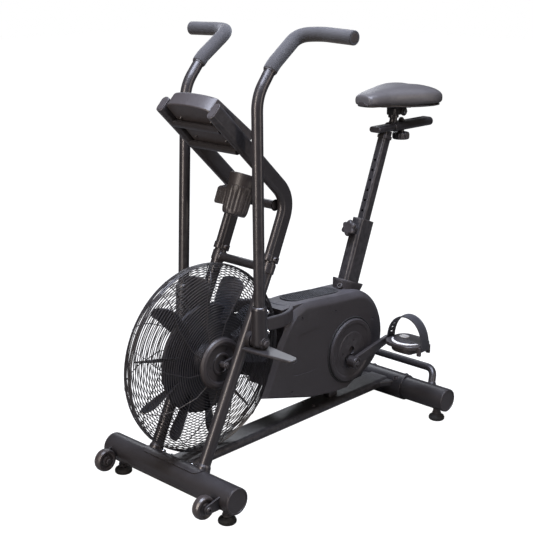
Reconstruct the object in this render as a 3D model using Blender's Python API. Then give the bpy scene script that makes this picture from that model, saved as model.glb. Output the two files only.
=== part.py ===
"""Air bike: steel frame, fan in a wire guard, belt drive, swinging handles and an adjustable saddle.

Metres, +Z up. The bike's front (fan) points to -X and the rider's left side is -Y.
Lengths along the bike are measured from the fan axle; the last step moves everything
back by MID_X, so that the origin lies under the middle of the bike, on the floor.
"""
import math

import bmesh
import bpy
from mathutils import Matrix, Vector

# ---- driving dimensions -------------------------------------------------------------
MID_X = 0.384             # from the fan axle to the middle of the bike
GAP = 0.0003              # left between pieces that touch

FAN_Z = 0.391             # height of the fan axle
GUARD_R = 0.279           # fan guard, outer radius
GUARD_HALF = 0.057        # half of the guard's depth
BLADES = 10

CRANK_X, CRANK_Z = 0.563, 0.249
CRANK_LENGTH = 0.170
CRANK_ANGLE = math.radians(12.5)
BELT_Y = 0.068            # middle of the belt's width
FAN_PULLEY_R = 0.022
DRIVE_PULLEY_R = 0.100
BELT_WIDTH, BELT_THICK = 0.011, 0.003
BELT_GAP = 0.0012         # the belt runs this clear of the pulleys
HOUSING_R = 0.0215        # outside of the crank's bearing housing

STAB_R, STAB_HALF, STAB_Z = 0.039, 0.267, 0.077
FRONT_X, REAR_X = -0.131, 0.853
FOOT_Y, FOOT_R = 0.225, 0.026

FORK_Y, FORK_R = 0.101, 0.018
FORK_FOOT, FORK_TOP = (-0.118, 0.083), (0.169, 0.664)
PIVOT_X, PIVOT_Z = 0.066, 0.462
LEVER_Y, LEVER_R, GRIP_R = 0.160, 0.016, 0.020
LEVER_LEAN = math.radians(1.5)    # one handle stands this far back, the other this far forward

SEAT_LEAN = math.atan(0.38)
SEAT_TOP = (0.715, 0.672)         # middle of the seat tube's rim
POST_OUT, POST_IN = 0.291, 0.168  # post above and inside the rim
HOLE_PITCH = 0.0337
RAIL_Z = 0.964

Y_AXIS = Vector((0, 1, 0))
Z_AXIS = Vector((0, 0, 1))

FINISHES = {                      # colour, roughness, metallic
    "paint": ((0.030, 0.029, 0.031), 0.42, 0.3),
    "plastic": ((0.024, 0.023, 0.025), 0.55, 0.0),
    "rubber": ((0.012, 0.012, 0.012), 0.85, 0.0),
    "foam": ((0.040, 0.040, 0.042), 0.9, 0.0),
    "vinyl": ((0.085, 0.082, 0.082), 0.45, 0.0),
    "steel": ((0.62, 0.62, 0.60), 0.25, 1.0),
    "blade": ((0.012, 0.012, 0.013), 0.5, 0.0),
    "white": ((0.75, 0.75, 0.73), 0.4, 0.0),
    "glass": ((0.01, 0.012, 0.014), 0.1, 0.0),
}


# ---- tools --------------------------------------------------------------------------
def make(name, bm, finish, origin=(0, 0, 0)):
    """Turn a bmesh in bike coordinates into an object with its origin at the given point."""
    bmesh.ops.remove_doubles(bm, verts=bm.verts, dist=1e-6)
    bmesh.ops.recalc_face_normals(bm, faces=bm.faces)
    bmesh.ops.translate(bm, verts=bm.verts, vec=-Vector(origin))
    mesh = bpy.data.meshes.new(name)
    bm.to_mesh(mesh)
    bm.free()
    mesh.shade_smooth()
    mesh.set_sharp_from_angle(angle=math.radians(35))
    obj = bpy.data.objects.new(name, mesh)
    obj.location = origin
    bpy.context.scene.collection.objects.link(obj)
    colour, roughness, metallic = FINISHES[finish]
    material = bpy.data.materials.new(name)
    material.use_nodes = True
    shader = material.node_tree.nodes["Principled BSDF"]
    shader.inputs["Base Color"].default_value = (*colour, 1)
    shader.inputs["Roughness"].default_value = roughness
    shader.inputs["Metallic"].default_value = metallic
    mesh.materials.append(material)
    return obj


def combine(target, other, operation):
    """Weld another solid to the target, or cut it out, and drop the other solid."""
    bpy.context.view_layer.update()
    modifier = target.modifiers.new(operation, "BOOLEAN")
    modifier.operation = operation
    modifier.object = other
    graph = bpy.context.evaluated_depsgraph_get()
    mesh = bpy.data.meshes.new_from_object(target.evaluated_get(graph))
    target.modifiers.clear()
    target.data = mesh
    bpy.data.objects.remove(other)


def weld(target, other):
    combine(target, other, "UNION")


def cut(target, other):
    combine(target, other, "DIFFERENCE")


def circle(radius, steps):
    turn = 2 * math.pi / steps
    return [(radius * math.cos(i * turn), radius * math.sin(i * turn)) for i in range(steps)]


def rounded_box(width, height, radius, steps=3):
    """Outline of a rectangle with rounded corners; radius = half the height gives a flat oval."""
    points = []
    for corner, (sx, sy) in enumerate(((1, 1), (-1, 1), (-1, -1), (1, -1))):
        for i in range(steps + 1):
            angle = math.pi / 2 * (corner + i / steps)
            points.append((sx * (width / 2 - radius) + radius * math.cos(angle),
                           sy * (height / 2 - radius) + radius * math.sin(angle)))
    return points


def fillet(corners, radius, steps=5):
    """A path through the corner points, each inner corner rounded by a smooth bend."""
    corners = [Vector(c) for c in corners]
    path = [corners[0]]
    for before, corner, after in zip(corners, corners[1:], corners[2:]):
        into, out = (before - corner), (after - corner)
        bend = math.pi - into.angle(out)
        reach = min(radius * math.tan(bend / 2), into.length * 0.49, out.length * 0.49)
        start, end = corner + into.normalized() * reach, corner + out.normalized() * reach
        for i in range(steps + 1):
            t = i / steps
            path.append(start * (1 - t) ** 2 + corner * 2 * t * (1 - t) + end * t * t)
    return path + [corners[-1]]


def bridge(bm, rings, closed=False):
    pairs = list(zip(rings, rings[1:])) + ([(rings[-1], rings[0])] if closed else [])
    for low, high in pairs:
        for i in range(len(low)):
            j = (i + 1) % len(low)
            bm.faces.new((low[i], low[j], high[j], high[i]))


def loft(name, rings, finish, origin=(0, 0, 0), closed=False):
    """A solid through rings of points; closed joins the last ring to the first."""
    bm = bmesh.new()
    rings = [[bm.verts.new(p) for p in ring] for ring in rings]
    bridge(bm, rings, closed)
    if not closed:
        bm.faces.new(rings[0])
        bm.faces.new(rings[-1])
    return make(name, bm, finish, origin)


def sweep_rings(path, profile, side, closed=False):
    """Rings of a profile carried along a path; side is the profile's first axis."""
    side = Vector(side)
    rings = []
    for i, point in enumerate(path):
        before = path[i - 1] if i or closed else point
        after = path[(i + 1) % len(path)] if i + 1 < len(path) or closed else point
        along = (Vector(after) - Vector(before)).normalized()
        side = (side - along * side.dot(along)).normalized()
        up = along.cross(side)
        rings.append([Vector(point) + side * a + up * b for a, b in profile])
    return rings


def sweep(name, path, profile, side, finish, origin=(0, 0, 0), closed=False):
    return loft(name, sweep_rings(path, profile, side, closed), finish, origin, closed)


def sleeve(name, path, outer, inner, side, finish, origin=(0, 0, 0)):
    """A tube with a bore that runs right through it."""
    outside, inside = sweep_rings(path, outer, side), sweep_rings(path, inner, side)
    return loft(name, outside + inside[::-1], finish, origin, closed=True)


def turned(name, profile, centre, axis, finish, steps=24, origin=None):
    """Turn (radius, height) points about an axis; a profile off the axis closes on itself."""
    bm = bmesh.new()
    spin = Z_AXIS.rotation_difference(Vector(axis)).to_matrix()
    rings = []
    for radius, height in profile:
        if radius == 0:
            ring = [bm.verts.new(Vector(centre) + spin @ Vector((0, 0, height)))] * steps
        else:
            ring = [bm.verts.new(Vector(centre) + spin @ Vector((x, y, height)))
                    for x, y in circle(radius, steps)]
        rings.append(ring)
    pairs = list(zip(rings, rings[1:]))
    if profile[0][0] > 0 and profile[-1][0] > 0:
        pairs.append((rings[-1], rings[0]))
    for low, high in pairs:
        for i in range(steps):
            j = (i + 1) % steps
            corners = (low[i], low[j], high[j], high[i])
            face = [v for k, v in enumerate(corners) if v not in corners[:k]]
            if len(face) > 2:
                bm.faces.new(face)
    return make(name, bm, finish, centre if origin is None else origin)


def rod(name, radius, start, end, finish, steps=16, origin=None):
    start, end = Vector(start), Vector(end)
    profile = ((0, 0), (radius, 0), (radius, (end - start).length), (0, (end - start).length))
    return turned(name, profile, start, end - start, finish, steps, origin)


def prism(name, outline, y0, y1, finish, origin=(0, 0, 0)):
    """Extrude an (x, z) outline from y0 to y1."""
    rings = [[Vector((x, y, z)) for x, z in outline] for y in (y0, y1)]
    return loft(name, rings, finish, origin)


def box(name, low, high, finish="plastic", origin=(0, 0, 0)):
    outline = ((low[0], low[2]), (high[0], low[2]), (high[0], high[2]), (low[0], high[2]))
    return prism(name, outline, low[1], high[1], finish, origin)


def link_outline(start, end, r_start, r_end, steps=6):
    """Outline of a flat link with a round end about each of two points."""
    (x0, z0), (x1, z1) = start, end
    heading = math.atan2(z1 - z0, x1 - x0)
    lean = math.asin((r_end - r_start) / math.hypot(x1 - x0, z1 - z0))
    points = []
    for (x, z), radius, first, span in (((x0, z0), r_start, math.pi / 2 + lean, math.pi - 2 * lean),
                                        ((x1, z1), r_end, -math.pi / 2 - lean, math.pi + 2 * lean)):
        for i in range(steps + 1):
            angle = heading + first + span * i / steps
            points.append((x + radius * math.cos(angle), z + radius * math.sin(angle)))
    return points


def both_sides(build):
    """Build a piece on the rider's left (-Y), then on the right (+Y)."""
    return [build(name, sign) for name, sign in (("left", -1), ("right", 1))]


# ---- frame --------------------------------------------------------------------------
def stabiliser(name, x):
    tube = turned(name, ((0, 0), (STAB_R - 0.003, 0), (STAB_R, 0.003), (STAB_R, 2 * STAB_HALF - 0.003),
                         (STAB_R - 0.003, 2 * STAB_HALF), (0, 2 * STAB_HALF)),
                  (x, -STAB_HALF, STAB_Z), Y_AXIS, "paint", 24, (x, 0, STAB_Z))
    for side in (-1, 1):
        hole = rod("hole", 0.0056, (x, side * FOOT_Y, 0.03), (x, side * FOOT_Y, 0.064), "paint", 12)
        cut(tube, hole)


def main_rail():
    """Flat-oval rail with a sleeve for the rear stabiliser and a post with the crank's bearings."""
    rail_z, height, width = 0.0935, 0.030, 0.084
    rail = sweep("main_rail", [(FRONT_X + STAB_R + 0.0008, 0, rail_z), (REAR_X - 0.02, 0, rail_z)],
                 rounded_box(width, height, height / 2 - 0.0005, 3), Y_AXIS, "paint")
    cut(rail, rod("end", STAB_R + 0.002, (REAR_X, -0.1, STAB_Z), (REAR_X, 0.1, STAB_Z), "paint", 24))
    inner, outer, half = STAB_R + GAP, STAB_R + 0.0045, 0.098
    weld(rail, turned("sleeve", ((outer, -half), (outer, half), (inner, half), (inner, -half)),
                      (REAR_X, 0, STAB_Z), Y_AXIS, "paint", 24))
    weld(rail, box("post", (CRANK_X - 0.02, -0.015, rail_z + 0.01),
                   (CRANK_X + 0.02, 0.015, CRANK_Z - 0.012)))
    weld(rail, rod("shell", HOUSING_R, (CRANK_X, -0.034, CRANK_Z), (CRANK_X, 0.034, CRANK_Z),
                   "paint", 20))
    cut(rail, rod("bore", 0.0090, (CRANK_X, -0.1, CRANK_Z), (CRANK_X, 0.1, CRANK_Z), "paint", 20))


def lift_handle():
    x, z, reach = REAR_X + 0.052, 0.150, 0.168
    path = fillet([(REAR_X + 0.020, -reach - 0.016, STAB_Z + 0.018), (x, -reach, z), (x, reach, z),
                   (REAR_X + 0.020, reach + 0.016, STAB_Z + 0.018)], 0.034, 5)
    handle = sweep("lift_handle", path, circle(0.0125, 12), (1, 0, 0), "paint")
    cut(handle, rod("tube", STAB_R + GAP, (REAR_X, -0.3, STAB_Z), (REAR_X, 0.3, STAB_Z), "paint", 24))


def fork_tube(side_name, side):
    """Leg from the front stabiliser up to the mast, with the plate that holds the fan axle."""
    y = side * FORK_Y
    tube = rod("fork_tube_" + side_name, FORK_R, (FORK_FOOT[0], y, FORK_FOOT[1]),
               (FORK_TOP[0], y, FORK_TOP[1]), "paint", 20, (0, 0, 0))
    across = (FAN_Z - FORK_FOOT[1]) / (FORK_TOP[1] - FORK_FOOT[1])
    leg_x = FORK_FOOT[0] + across * (FORK_TOP[0] - FORK_FOOT[0])
    weld(tube, prism("plate", link_outline((0, FAN_Z), (leg_x, FAN_Z), 0.017, 0.017),
                     side * 0.0805, side * 0.090, "paint"))
    cut(tube, rod("bore", 0.0083, (0, side * 0.06, FAN_Z), (0, side * 0.1, FAN_Z), "paint", 16))
    cut(tube, rod("seat", STAB_R + GAP, (FRONT_X, -0.2, STAB_Z), (FRONT_X, 0.2, STAB_Z), "paint", 24))
    return tube


def fork_brace():
    inner = FORK_Y - FORK_R - GAP
    rod("fork_brace", 0.013, (0.1596, -inner, 0.645), (0.1596, inner, 0.645), "paint", 16)


def mast(side_name, side):
    """Flat-oval upright that leans back, bends at its middle and runs forward to the console."""
    top = Vector((FORK_TOP[0], side * FORK_Y, FORK_TOP[1]))
    along = (top - Vector((FORK_FOOT[0], side * FORK_Y, FORK_FOOT[1]))).normalized()
    path = fillet([top + along * 0.0005, top + along * 0.02, (0.247, side * FORK_Y, 0.838),
                   (-0.046, side * FORK_Y, 1.118)], 0.085, 4)
    return sweep("mast_" + side_name, path, rounded_box(0.027, 0.050, 0.0132), Y_AXIS, "paint")


def mast_cross_tube():
    inner = FORK_Y - 0.0135 - GAP
    rod("mast_cross_tube", 0.013, (0.204, -inner, 0.822), (0.204, inner, 0.822), "paint", 16)


def seat_axis_point(distance, out=0.0):
    """Point on the seat tube's axis, distance above its rim, moved out through the front face."""
    up = Vector((math.sin(SEAT_LEAN), 0, math.cos(SEAT_LEAN)))
    front = Vector((-math.cos(SEAT_LEAN), 0, math.sin(SEAT_LEAN)))
    return Vector((SEAT_TOP[0], 0, SEAT_TOP[1])) + up * distance + front * out


def seat_tube():
    """Rectangular tube with a bore for the post and a threaded boss for the pull pin."""
    tube = sweep("seat_tube", [seat_axis_point(-0.424), seat_axis_point(-0.012), seat_axis_point(-0.011),
                               seat_axis_point(0)],
                 rounded_box(0.042, 0.072, 0.012), Y_AXIS, "paint")
    weld(tube, rod("boss", 0.013, seat_axis_point(-0.036, 0.030), seat_axis_point(-0.036, 0.046),
                   "paint", 16))
    cut(tube, sweep("bore", [seat_axis_point(-0.412), seat_axis_point(0.02)],
                    rounded_box(0.031, 0.039, 0.0083), Y_AXIS, "paint"))
    cut(tube, rod("pin_hole", 0.0047, seat_axis_point(-0.036, 0.0), seat_axis_point(-0.036, 0.06),
                  "paint", 12))


def foot(name, x, y):
    """Levelling foot: rubber pad on a threaded stud that goes into the stabiliser."""
    turned(name, ((0, 0), (FOOT_R, 0), (FOOT_R, 0.010), (0.019, 0.019), (0.0053, 0.022), (0.0053, 0.058),
                  (0, 0.058)), (x, y, 0), Z_AXIS, "rubber", 14)


# ---- transport wheels ---------------------------------------------------------------
WHEEL_X, WHEEL_Z, WHEEL_R, WHEEL_Y = -0.2085, 0.070, 0.034, 0.212


def wheel_bracket(side_name, side):
    """Plate from the stabiliser to the wheel, with the wheel's axle."""
    outline = link_outline((FRONT_X - 0.01, STAB_Z), (WHEEL_X, WHEEL_Z), 0.02, 0.013)
    bracket = prism("wheel_bracket_" + side_name, outline,
                    side * (WHEEL_Y + 0.0165), side * (WHEEL_Y + 0.0225), "paint")
    axle = turned("axle", ((0, -0.0215), (0.0075, -0.0215), (0.0075, -0.0155), (0.004, -0.0155),
                           (0.004, 0.019), (0, 0.019)),
                  (WHEEL_X, side * WHEEL_Y, WHEEL_Z), (0, side, 0), "paint", 14)
    weld(bracket, axle)
    cut(bracket, rod("seat", STAB_R + GAP, (FRONT_X, -0.3, STAB_Z), (FRONT_X, 0.3, STAB_Z), "paint", 24))


def transport_wheel(side_name, side):
    profile = ((0.0043, -0.012), (0.018, -0.010), (0.029, -0.0135), (WHEEL_R, -0.006),
               (WHEEL_R, 0.006), (0.029, 0.0135), (0.018, 0.010), (0.0043, 0.012))
    turned("transport_wheel_" + side_name, profile, (WHEEL_X, side * WHEEL_Y, WHEEL_Z), Y_AXIS,
           "plastic", 18)


# ---- fan ----------------------------------------------------------------------------
def guard(side_name, side):
    """Half of the wire guard: hub ring, two rings, rim and eight spokes on one dished sheet."""
    spokes, cells, spoke_turn = 8, 4, math.radians(3)
    stations = [(0.060, GUARD_HALF), (0.082, GUARD_HALF), (0.150, GUARD_HALF), (0.158, GUARD_HALF),
                (0.226, GUARD_HALF - 0.004), (0.256, GUARD_HALF - 0.014), (GUARD_R - 0.001, 0.0020)]
    open_bands = (1, 3)
    angles = []
    for spoke in range(spokes):
        start = 2 * math.pi * spoke / spokes
        rest = 2 * math.pi / spokes - spoke_turn
        angles += [start] + [start + spoke_turn + rest * i / (cells - 1) for i in range(cells - 1)]
    bm = bmesh.new()
    grid = [[bm.verts.new((r * math.cos(a), side * y, FAN_Z + r * math.sin(a))) for a in angles]
            for r, y in stations]
    for band in range(len(stations) - 1):
        for i in range(len(angles)):
            if band in open_bands and i % cells:
                continue
            j = (i + 1) % len(angles)
            bm.faces.new((grid[band][i], grid[band][j], grid[band + 1][j], grid[band + 1][i]))
    bmesh.ops.recalc_face_normals(bm, faces=bm.faces)
    if sum(face.normal.y for face in bm.faces) * side < 0:
        bmesh.ops.reverse_faces(bm, faces=bm.faces)
    half = make("guard_" + side_name, bm, "blade")
    shell = half.modifiers.new("thickness", "SOLIDIFY")
    shell.thickness = 0.0025
    shell.offset = -1
    return half


def hub_cover():
    """Round plastic cover over the guard's hub, open in the middle for the axle."""
    radius, depth, y = 0.077, 0.018, GUARD_HALF + GAP
    profile = ((0.0088, y), (radius, y), (radius, y + depth * 0.4), (radius - 0.012, y + depth),
               (radius * 0.45, y + depth), (radius * 0.40, y + depth * 0.6), (0.0088, y + depth * 0.6))
    turned("hub_cover", profile, (0, 0, FAN_Z), (0, -1, 0), "plastic", 20)


def fan_axle():
    turned("fan_axle", ((0, -0.099), (0.0130, -0.099), (0.0130, -0.0905), (0.008, -0.0905),
                        (0.008, 0.0905), (0.0130, 0.0905), (0.0130, 0.099), (0, 0.099)),
           (0, 0, FAN_Z), Y_AXIS, "steel", 16)


def fan_wheel():
    """Hub and disc with pitched paddles that have rounded ends."""
    bore, disc_r, disc_y = 0.0085, 0.160, 0.004
    wheel = turned("fan_wheel", ((bore, -0.032), (0.030, -0.032), (0.046, -disc_y), (disc_r, -disc_y),
                                 (disc_r, disc_y), (0.046, disc_y), (0.030, 0.032), (bore, 0.032)),
                   (0, 0, FAN_Z), Y_AXIS, "blade", 20)
    root, tip, half_chord, pitch = 0.148, 0.252, 0.036, math.radians(-66)
    outline = [(root, -0.016), (root + 0.035, -half_chord), (tip - 0.022, -half_chord),
               (tip, -half_chord * 0.4), (tip, half_chord * 0.4), (tip - 0.022, half_chord),
               (root + 0.035, half_chord), (root, 0.016)]
    tilt = Matrix.Rotation(pitch, 3, "X")
    for k in range(BLADES):
        turn = Matrix.Rotation(2 * math.pi * (k + 0.35) / BLADES, 3, "Y")
        rings = [[Vector((0, 0, FAN_Z)) + turn @ (tilt @ Vector((r, y, c))) for r, c in outline]
                 for y in (-0.0018, 0.0018)]
        weld(wheel, loft("blade", rings, "blade"))
    wheel.data.shade_smooth()
    wheel.data.set_sharp_from_angle(angle=math.radians(35))


def fan_pulley():
    y, half, rim = BELT_Y, 0.0068, FAN_PULLEY_R
    profile = ((0.0085, 0.0326), (0.014, 0.0326), (0.014, y - half), (rim, y - half), (rim, y + half),
               (0.0085, y + half))
    turned("fan_pulley", profile, (0, 0, FAN_Z), Y_AXIS, "steel", 20)


# ---- crank, belt and pedals ---------------------------------------------------------
def drive_pulley():
    y, half, rim = BELT_Y, 0.0068, DRIVE_PULLEY_R
    profile = ((0.0088, y - 0.022), (0.020, y - 0.022), (0.020, y - 0.002), (rim - 0.012, y - 0.002),
               (rim - 0.012, y - half), (rim, y - half), (rim, y + half), (rim - 0.012, y + half),
               (rim - 0.012, y + 0.002), (0.0088, y + 0.002))
    turned("drive_pulley", profile, (CRANK_X, 0, CRANK_Z), Y_AXIS, "blade", 20)


def drive_belt():
    """Flat belt around both pulleys."""
    middle = BELT_GAP + BELT_THICK / 2
    outline = link_outline((0, FAN_Z), (CRANK_X, CRANK_Z), FAN_PULLEY_R + middle,
                           DRIVE_PULLEY_R + middle, 14)
    path = [Vector((x, BELT_Y, z)) for x, z in outline]
    half, thick = BELT_WIDTH / 2, BELT_THICK / 2 - 0.0001
    sweep("drive_belt", path, ((half, thick), (-half, thick), (-half, -thick), (half, -thick)),
          Y_AXIS, "rubber", closed=True)


def crank_axle():
    rod("crank_axle", 0.0085, (CRANK_X, -0.112, CRANK_Z), (CRANK_X, 0.112, CRANK_Z), "steel", 20,
        (CRANK_X, 0, CRANK_Z))


def pedal_centre(side):
    reach = CRANK_LENGTH * (1 if side < 0 else -1)
    return Vector((CRANK_X + reach * math.cos(CRANK_ANGLE), 0, CRANK_Z + reach * math.sin(CRANK_ANGLE)))


def crank_arm(side_name, side):
    """Forged arm with a boss on the crank axle and the pedal's spindle screwed into its end."""
    end = pedal_centre(side)
    arm = prism("crank_arm_" + side_name, link_outline((CRANK_X, CRANK_Z), (end.x, end.z), 0.017, 0.0135),
                side * 0.0925, side * 0.1065, "paint", (CRANK_X, 0, CRANK_Z))
    weld(arm, turned("boss", ((0, 0.083), (0.0195, 0.083), (0.0195, 0.112), (0.016, 0.117), (0, 0.117)),
                     (CRANK_X, 0, CRANK_Z), (0, side, 0), "paint", 16))
    weld(arm, turned("spindle", ((0, 0.100), (0.007, 0.100), (0.007, 0.2247), (0.010, 0.2247),
                                 (0.010, 0.2285), (0, 0.2285)), end, (0, side, 0), "paint", 12))
    cut(arm, rod("bore", 0.0087, (CRANK_X, side * 0.07, CRANK_Z), (CRANK_X, side * 0.1125, CRANK_Z),
                 "paint", 20))


def pedal(side_name, side):
    """Platform on a barrel that turns on the spindle."""
    centre = pedal_centre(side)
    middle = side * 0.185
    outline = rounded_box(0.116, 0.130, 0.034)
    rings = [[Vector((centre.x + x, middle + y, centre.z + z)) for x, y in outline]
             for z in (0.004, 0.018)]
    body = loft("pedal_" + side_name, rings, "plastic", centre)
    weld(body, rod("barrel", 0.017, (centre.x, side * 0.1205, centre.z),
                   (centre.x, side * 0.2245, centre.z), "plastic", 20))
    cut(body, rod("bore", 0.0074, (centre.x, side * 0.11, centre.z), (centre.x, side * 0.24, centre.z),
                  "plastic", 16))
    cut(body, rod("end", 0.0135, (centre.x, side * 0.2243, centre.z), (centre.x, side * 0.24, centre.z),
                  "plastic", 16))
    return body


def pedal_strap(side_name, side):
    """Strap that arches over the foot from the pedal's inner edge to its outer edge."""
    centre = pedal_centre(side)
    near, far, foot_z, top = 0.1165, 0.2540, 0.008, 0.100
    path = []
    for i in range(15):
        angle = math.pi * i / 14
        y = (near + far) / 2 - (far - near) / 2 * math.cos(angle)
        rise = (top - foot_z) * math.sin(angle) ** 0.8
        path.append(Vector((centre.x, side * y, centre.z + foot_z + rise)))
    half, thick = 0.019, 0.0015
    band = ((half, thick), (-half, thick), (-half, -thick), (half, -thick))
    sweep("pedal_strap_" + side_name, path, band, (1, 0, 0), "rubber", centre)


# ---- covers -------------------------------------------------------------------------
def cover_outline(front, drop):
    """Side view of the belt cover: front edge, deck, round tail and sloping bottom."""
    tail_x, tail_z, tail_r = 0.600, 0.300, 0.152 - drop
    points = list(front)
    points += [(0.42, 0.484 - drop), (0.52, 0.475 - drop)]
    for i in range(9):
        angle = math.radians(88 - 20.5 * i)
        rise = (tail_r + 0.018 * math.sin(angle)) * math.sin(angle)
        points.append((tail_x + tail_r * math.cos(angle), tail_z + rise))
    points += [(0.505, 0.150 + drop * 0.4), (0.40, 0.164 + drop * 0.4)]
    return points


def cover(side_name, side):
    """Half of the belt cover; its side wall reaches forward past the guard's rim."""
    clear = GUARD_R + 0.005
    arc = [(clear * math.cos(math.radians(a)), FAN_Z + clear * math.sin(math.radians(a)))
           for a in (-33, -20, -6, 8, 19)]
    wing = [(0.180, 0.226), (0.210, 0.290), (0.240, 0.356), (0.272, 0.404), (0.308, 0.450)]
    deck = [(0.310, 0.492)]
    step = GUARD_HALF + 0.001
    edge, face = (0.063, 0.0705) if side < 0 else (0.0565, 0.0575)
    if side > 0:
        wing, step = arc, 0.056
    sections = [(0.0002, arc + deck, 0), (0.042, arc + deck, 0), (step, arc + deck, 0.012),
                (step + 0.0003, wing + [(0.318, 0.476)], 0.012), (edge, wing + [(0.320, 0.462)], 0.018),
                (face, [(x + 0.004, z + 0.002) for x, z in wing] + [(0.328, 0.448)], 0.030)]
    bm = bmesh.new()
    rings = [[bm.verts.new((x, side * y, z)) for x, z in cover_outline(front, drop)]
             for y, front, drop in sections]
    bridge(bm, rings)
    bm.faces.new(rings[-1])
    bmesh.ops.recalc_face_normals(bm, faces=bm.faces)
    half = make("cover_" + side_name, bm, "plastic")
    shell = half.modifiers.new("thickness", "SOLIDIFY")
    shell.thickness = 0.0025
    shell.offset = -1
    return half


def cut_cover(half, side):
    """Openings for the seat tube, the crank axle and the main rail."""
    cut(half, sweep("hole", [seat_axis_point(-0.45), seat_axis_point(-0.05)],
                    rounded_box(0.0436, 0.0736, 0.012), Y_AXIS, "plastic"))
    cut(half, rod("hole", 0.021, (CRANK_X, 0, CRANK_Z), (CRANK_X, side * 0.1, CRANK_Z), "plastic", 20))
    cut(half, box("hole", (CRANK_X - 0.021, -0.016, 0.12), (CRANK_X + 0.021, 0.016, 0.20)))


def belt_guard():
    """Narrow cover on the right that holds the belt from the fan's hub to the crank."""
    bm = bmesh.new()
    rings = []
    for y, shrink in ((0.0605, 0), (0.074, 0), (0.0795, 0.005)):
        outline = link_outline((0, FAN_Z), (CRANK_X, CRANK_Z), 0.040 - shrink, 0.118 - shrink, 9)
        rings.append([bm.verts.new((x, y, z)) for x, z in outline])
    bridge(bm, rings)
    bm.faces.new(rings[-1])
    bmesh.ops.recalc_face_normals(bm, faces=bm.faces)
    tray = make("belt_guard", bm, "plastic")
    shell = tray.modifiers.new("thickness", "SOLIDIFY")
    shell.thickness = 0.002
    shell.offset = -1
    cut(tray, rod("hole", 0.0135, (CRANK_X, 0.05, CRANK_Z), (CRANK_X, 0.1, CRANK_Z), "plastic", 20))
    cut(tray, rod("hole", 0.0095, (0, 0.05, FAN_Z), (0, 0.1, FAN_Z), "plastic", 16))


def crank_cover():
    """Round cover on the left side wall, set a little above the crank."""
    cover_x, cover_z, radius, y = 0.576, 0.281, 0.108, 0.0708
    profile = ((0, y), (radius, y), (radius, y + 0.004), (radius - 0.007, y + 0.0075),
               (radius * 0.62, y + 0.0085), (radius * 0.55, y + 0.0055), (0, y + 0.0055))
    disc = turned("crank_cover", profile, (cover_x, 0, cover_z), (0, -1, 0), "plastic", 28)
    cut(disc, rod("hole", 0.0135, (CRANK_X, -0.05, CRANK_Z), (CRANK_X, -0.1, CRANK_Z), "plastic", 20))


def shroud_arm(side_name, side):
    """Arm of the cover that reaches round the guard to the fork tube."""
    path = fillet([(0.310, side * 0.0705, 0.470), (0.262, side * 0.084, 0.472),
                   (0.225, side * 0.101, 0.474), (0.108, side * 0.101, 0.480)], 0.05, 4)
    arm = sweep("shroud_arm_" + side_name, path, rounded_box(0.012, 0.036, 0.004, 2), Y_AXIS, "plastic")
    leg = rod("leg", FORK_R + GAP, (FORK_FOOT[0], side * FORK_Y, FORK_FOOT[1]),
              (FORK_TOP[0], side * FORK_Y, FORK_TOP[1]), "paint", 20)
    cut(arm, leg)
    return arm


def seat_collar():
    """Raised collar of the cover around the seat tube."""
    low, high = seat_axis_point(-0.222), seat_axis_point(-0.200)
    outer = rounded_box(0.078, 0.112, 0.036, 4)
    inner = rounded_box(0.0436, 0.0736, 0.0125, 4)
    sleeve("seat_collar", [low, high], outer, inner, Y_AXIS, "plastic")


# ---- handles ------------------------------------------------------------------------
def lever_path(side, start):
    """Middle line of a handle, straight up from its socket and then back and out to the grip's end."""
    points = fillet([(PIVOT_X + 0.0005, side * LEVER_Y, start), (PIVOT_X + 0.009, side * LEVER_Y, 1.150),
                     (0.138, side * LEVER_Y, 1.228), (0.238, side * LEVER_Y, 1.2985),
                     (0.272, side * 0.215, 1.3015), (0.262, side * 0.335, 1.2985)], 0.115, 3)
    lean = Matrix.Rotation(side * LEVER_LEAN, 3, "Y")
    pivot = Vector((PIVOT_X, 0, PIVOT_Z))
    return [pivot + lean @ (point - pivot) for point in points]


def grip_start(path):
    """Index of the path point where the grip begins, on the slope behind the first bend."""
    return next(i for i, point in enumerate(path) if point.z > 1.205)


def lever(side_name, side):
    path = lever_path(side, PIVOT_Z + 0.024)
    return sweep("lever_" + side_name, path, circle(LEVER_R, 10), Y_AXIS, "paint", (PIVOT_X, 0, PIVOT_Z))


def grip(side_name, side):
    path = lever_path(side, PIVOT_Z + 0.024)
    path = path[grip_start(path):]
    end = path[-1] + (path[-1] - path[-2]).normalized() * 0.004
    outer, inner = circle(GRIP_R, 10), circle(LEVER_R + 0.0012, 10)
    outside = sweep_rings(path + [end], outer, Y_AXIS)
    inside = sweep_rings(path + [end], inner, Y_AXIS)
    return loft("grip_" + side_name, outside + inside[::-1], "foam", (PIVOT_X, 0, PIVOT_Z), closed=True)


def lever_socket(side_name, side):
    """Lower end of the handle: a pivot hub across it and a bore for the tube."""
    lean = Matrix.Rotation(side * LEVER_LEAN, 3, "Y")
    up = lean @ Vector((0.013, 0, 1)).normalized()
    pivot = Vector((PIVOT_X, side * LEVER_Y, PIVOT_Z))
    body = rod("lever_socket_" + side_name, 0.0225, pivot + up * 0.002, pivot + up * 0.106, "paint", 20,
               (PIVOT_X, 0, PIVOT_Z))
    weld(body, rod("hub", 0.0180, pivot - Y_AXIS * 0.0228, pivot + Y_AXIS * 0.0228, "paint", 20))
    cut(body, rod("bore", LEVER_R + 0.0007, pivot + up * 0.0225, pivot + up * 0.12, "paint", 16))
    cut(body, rod("axle_bore", 0.0088, pivot - Y_AXIS * 0.04, pivot + Y_AXIS * 0.04, "paint", 20))
    return body


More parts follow.
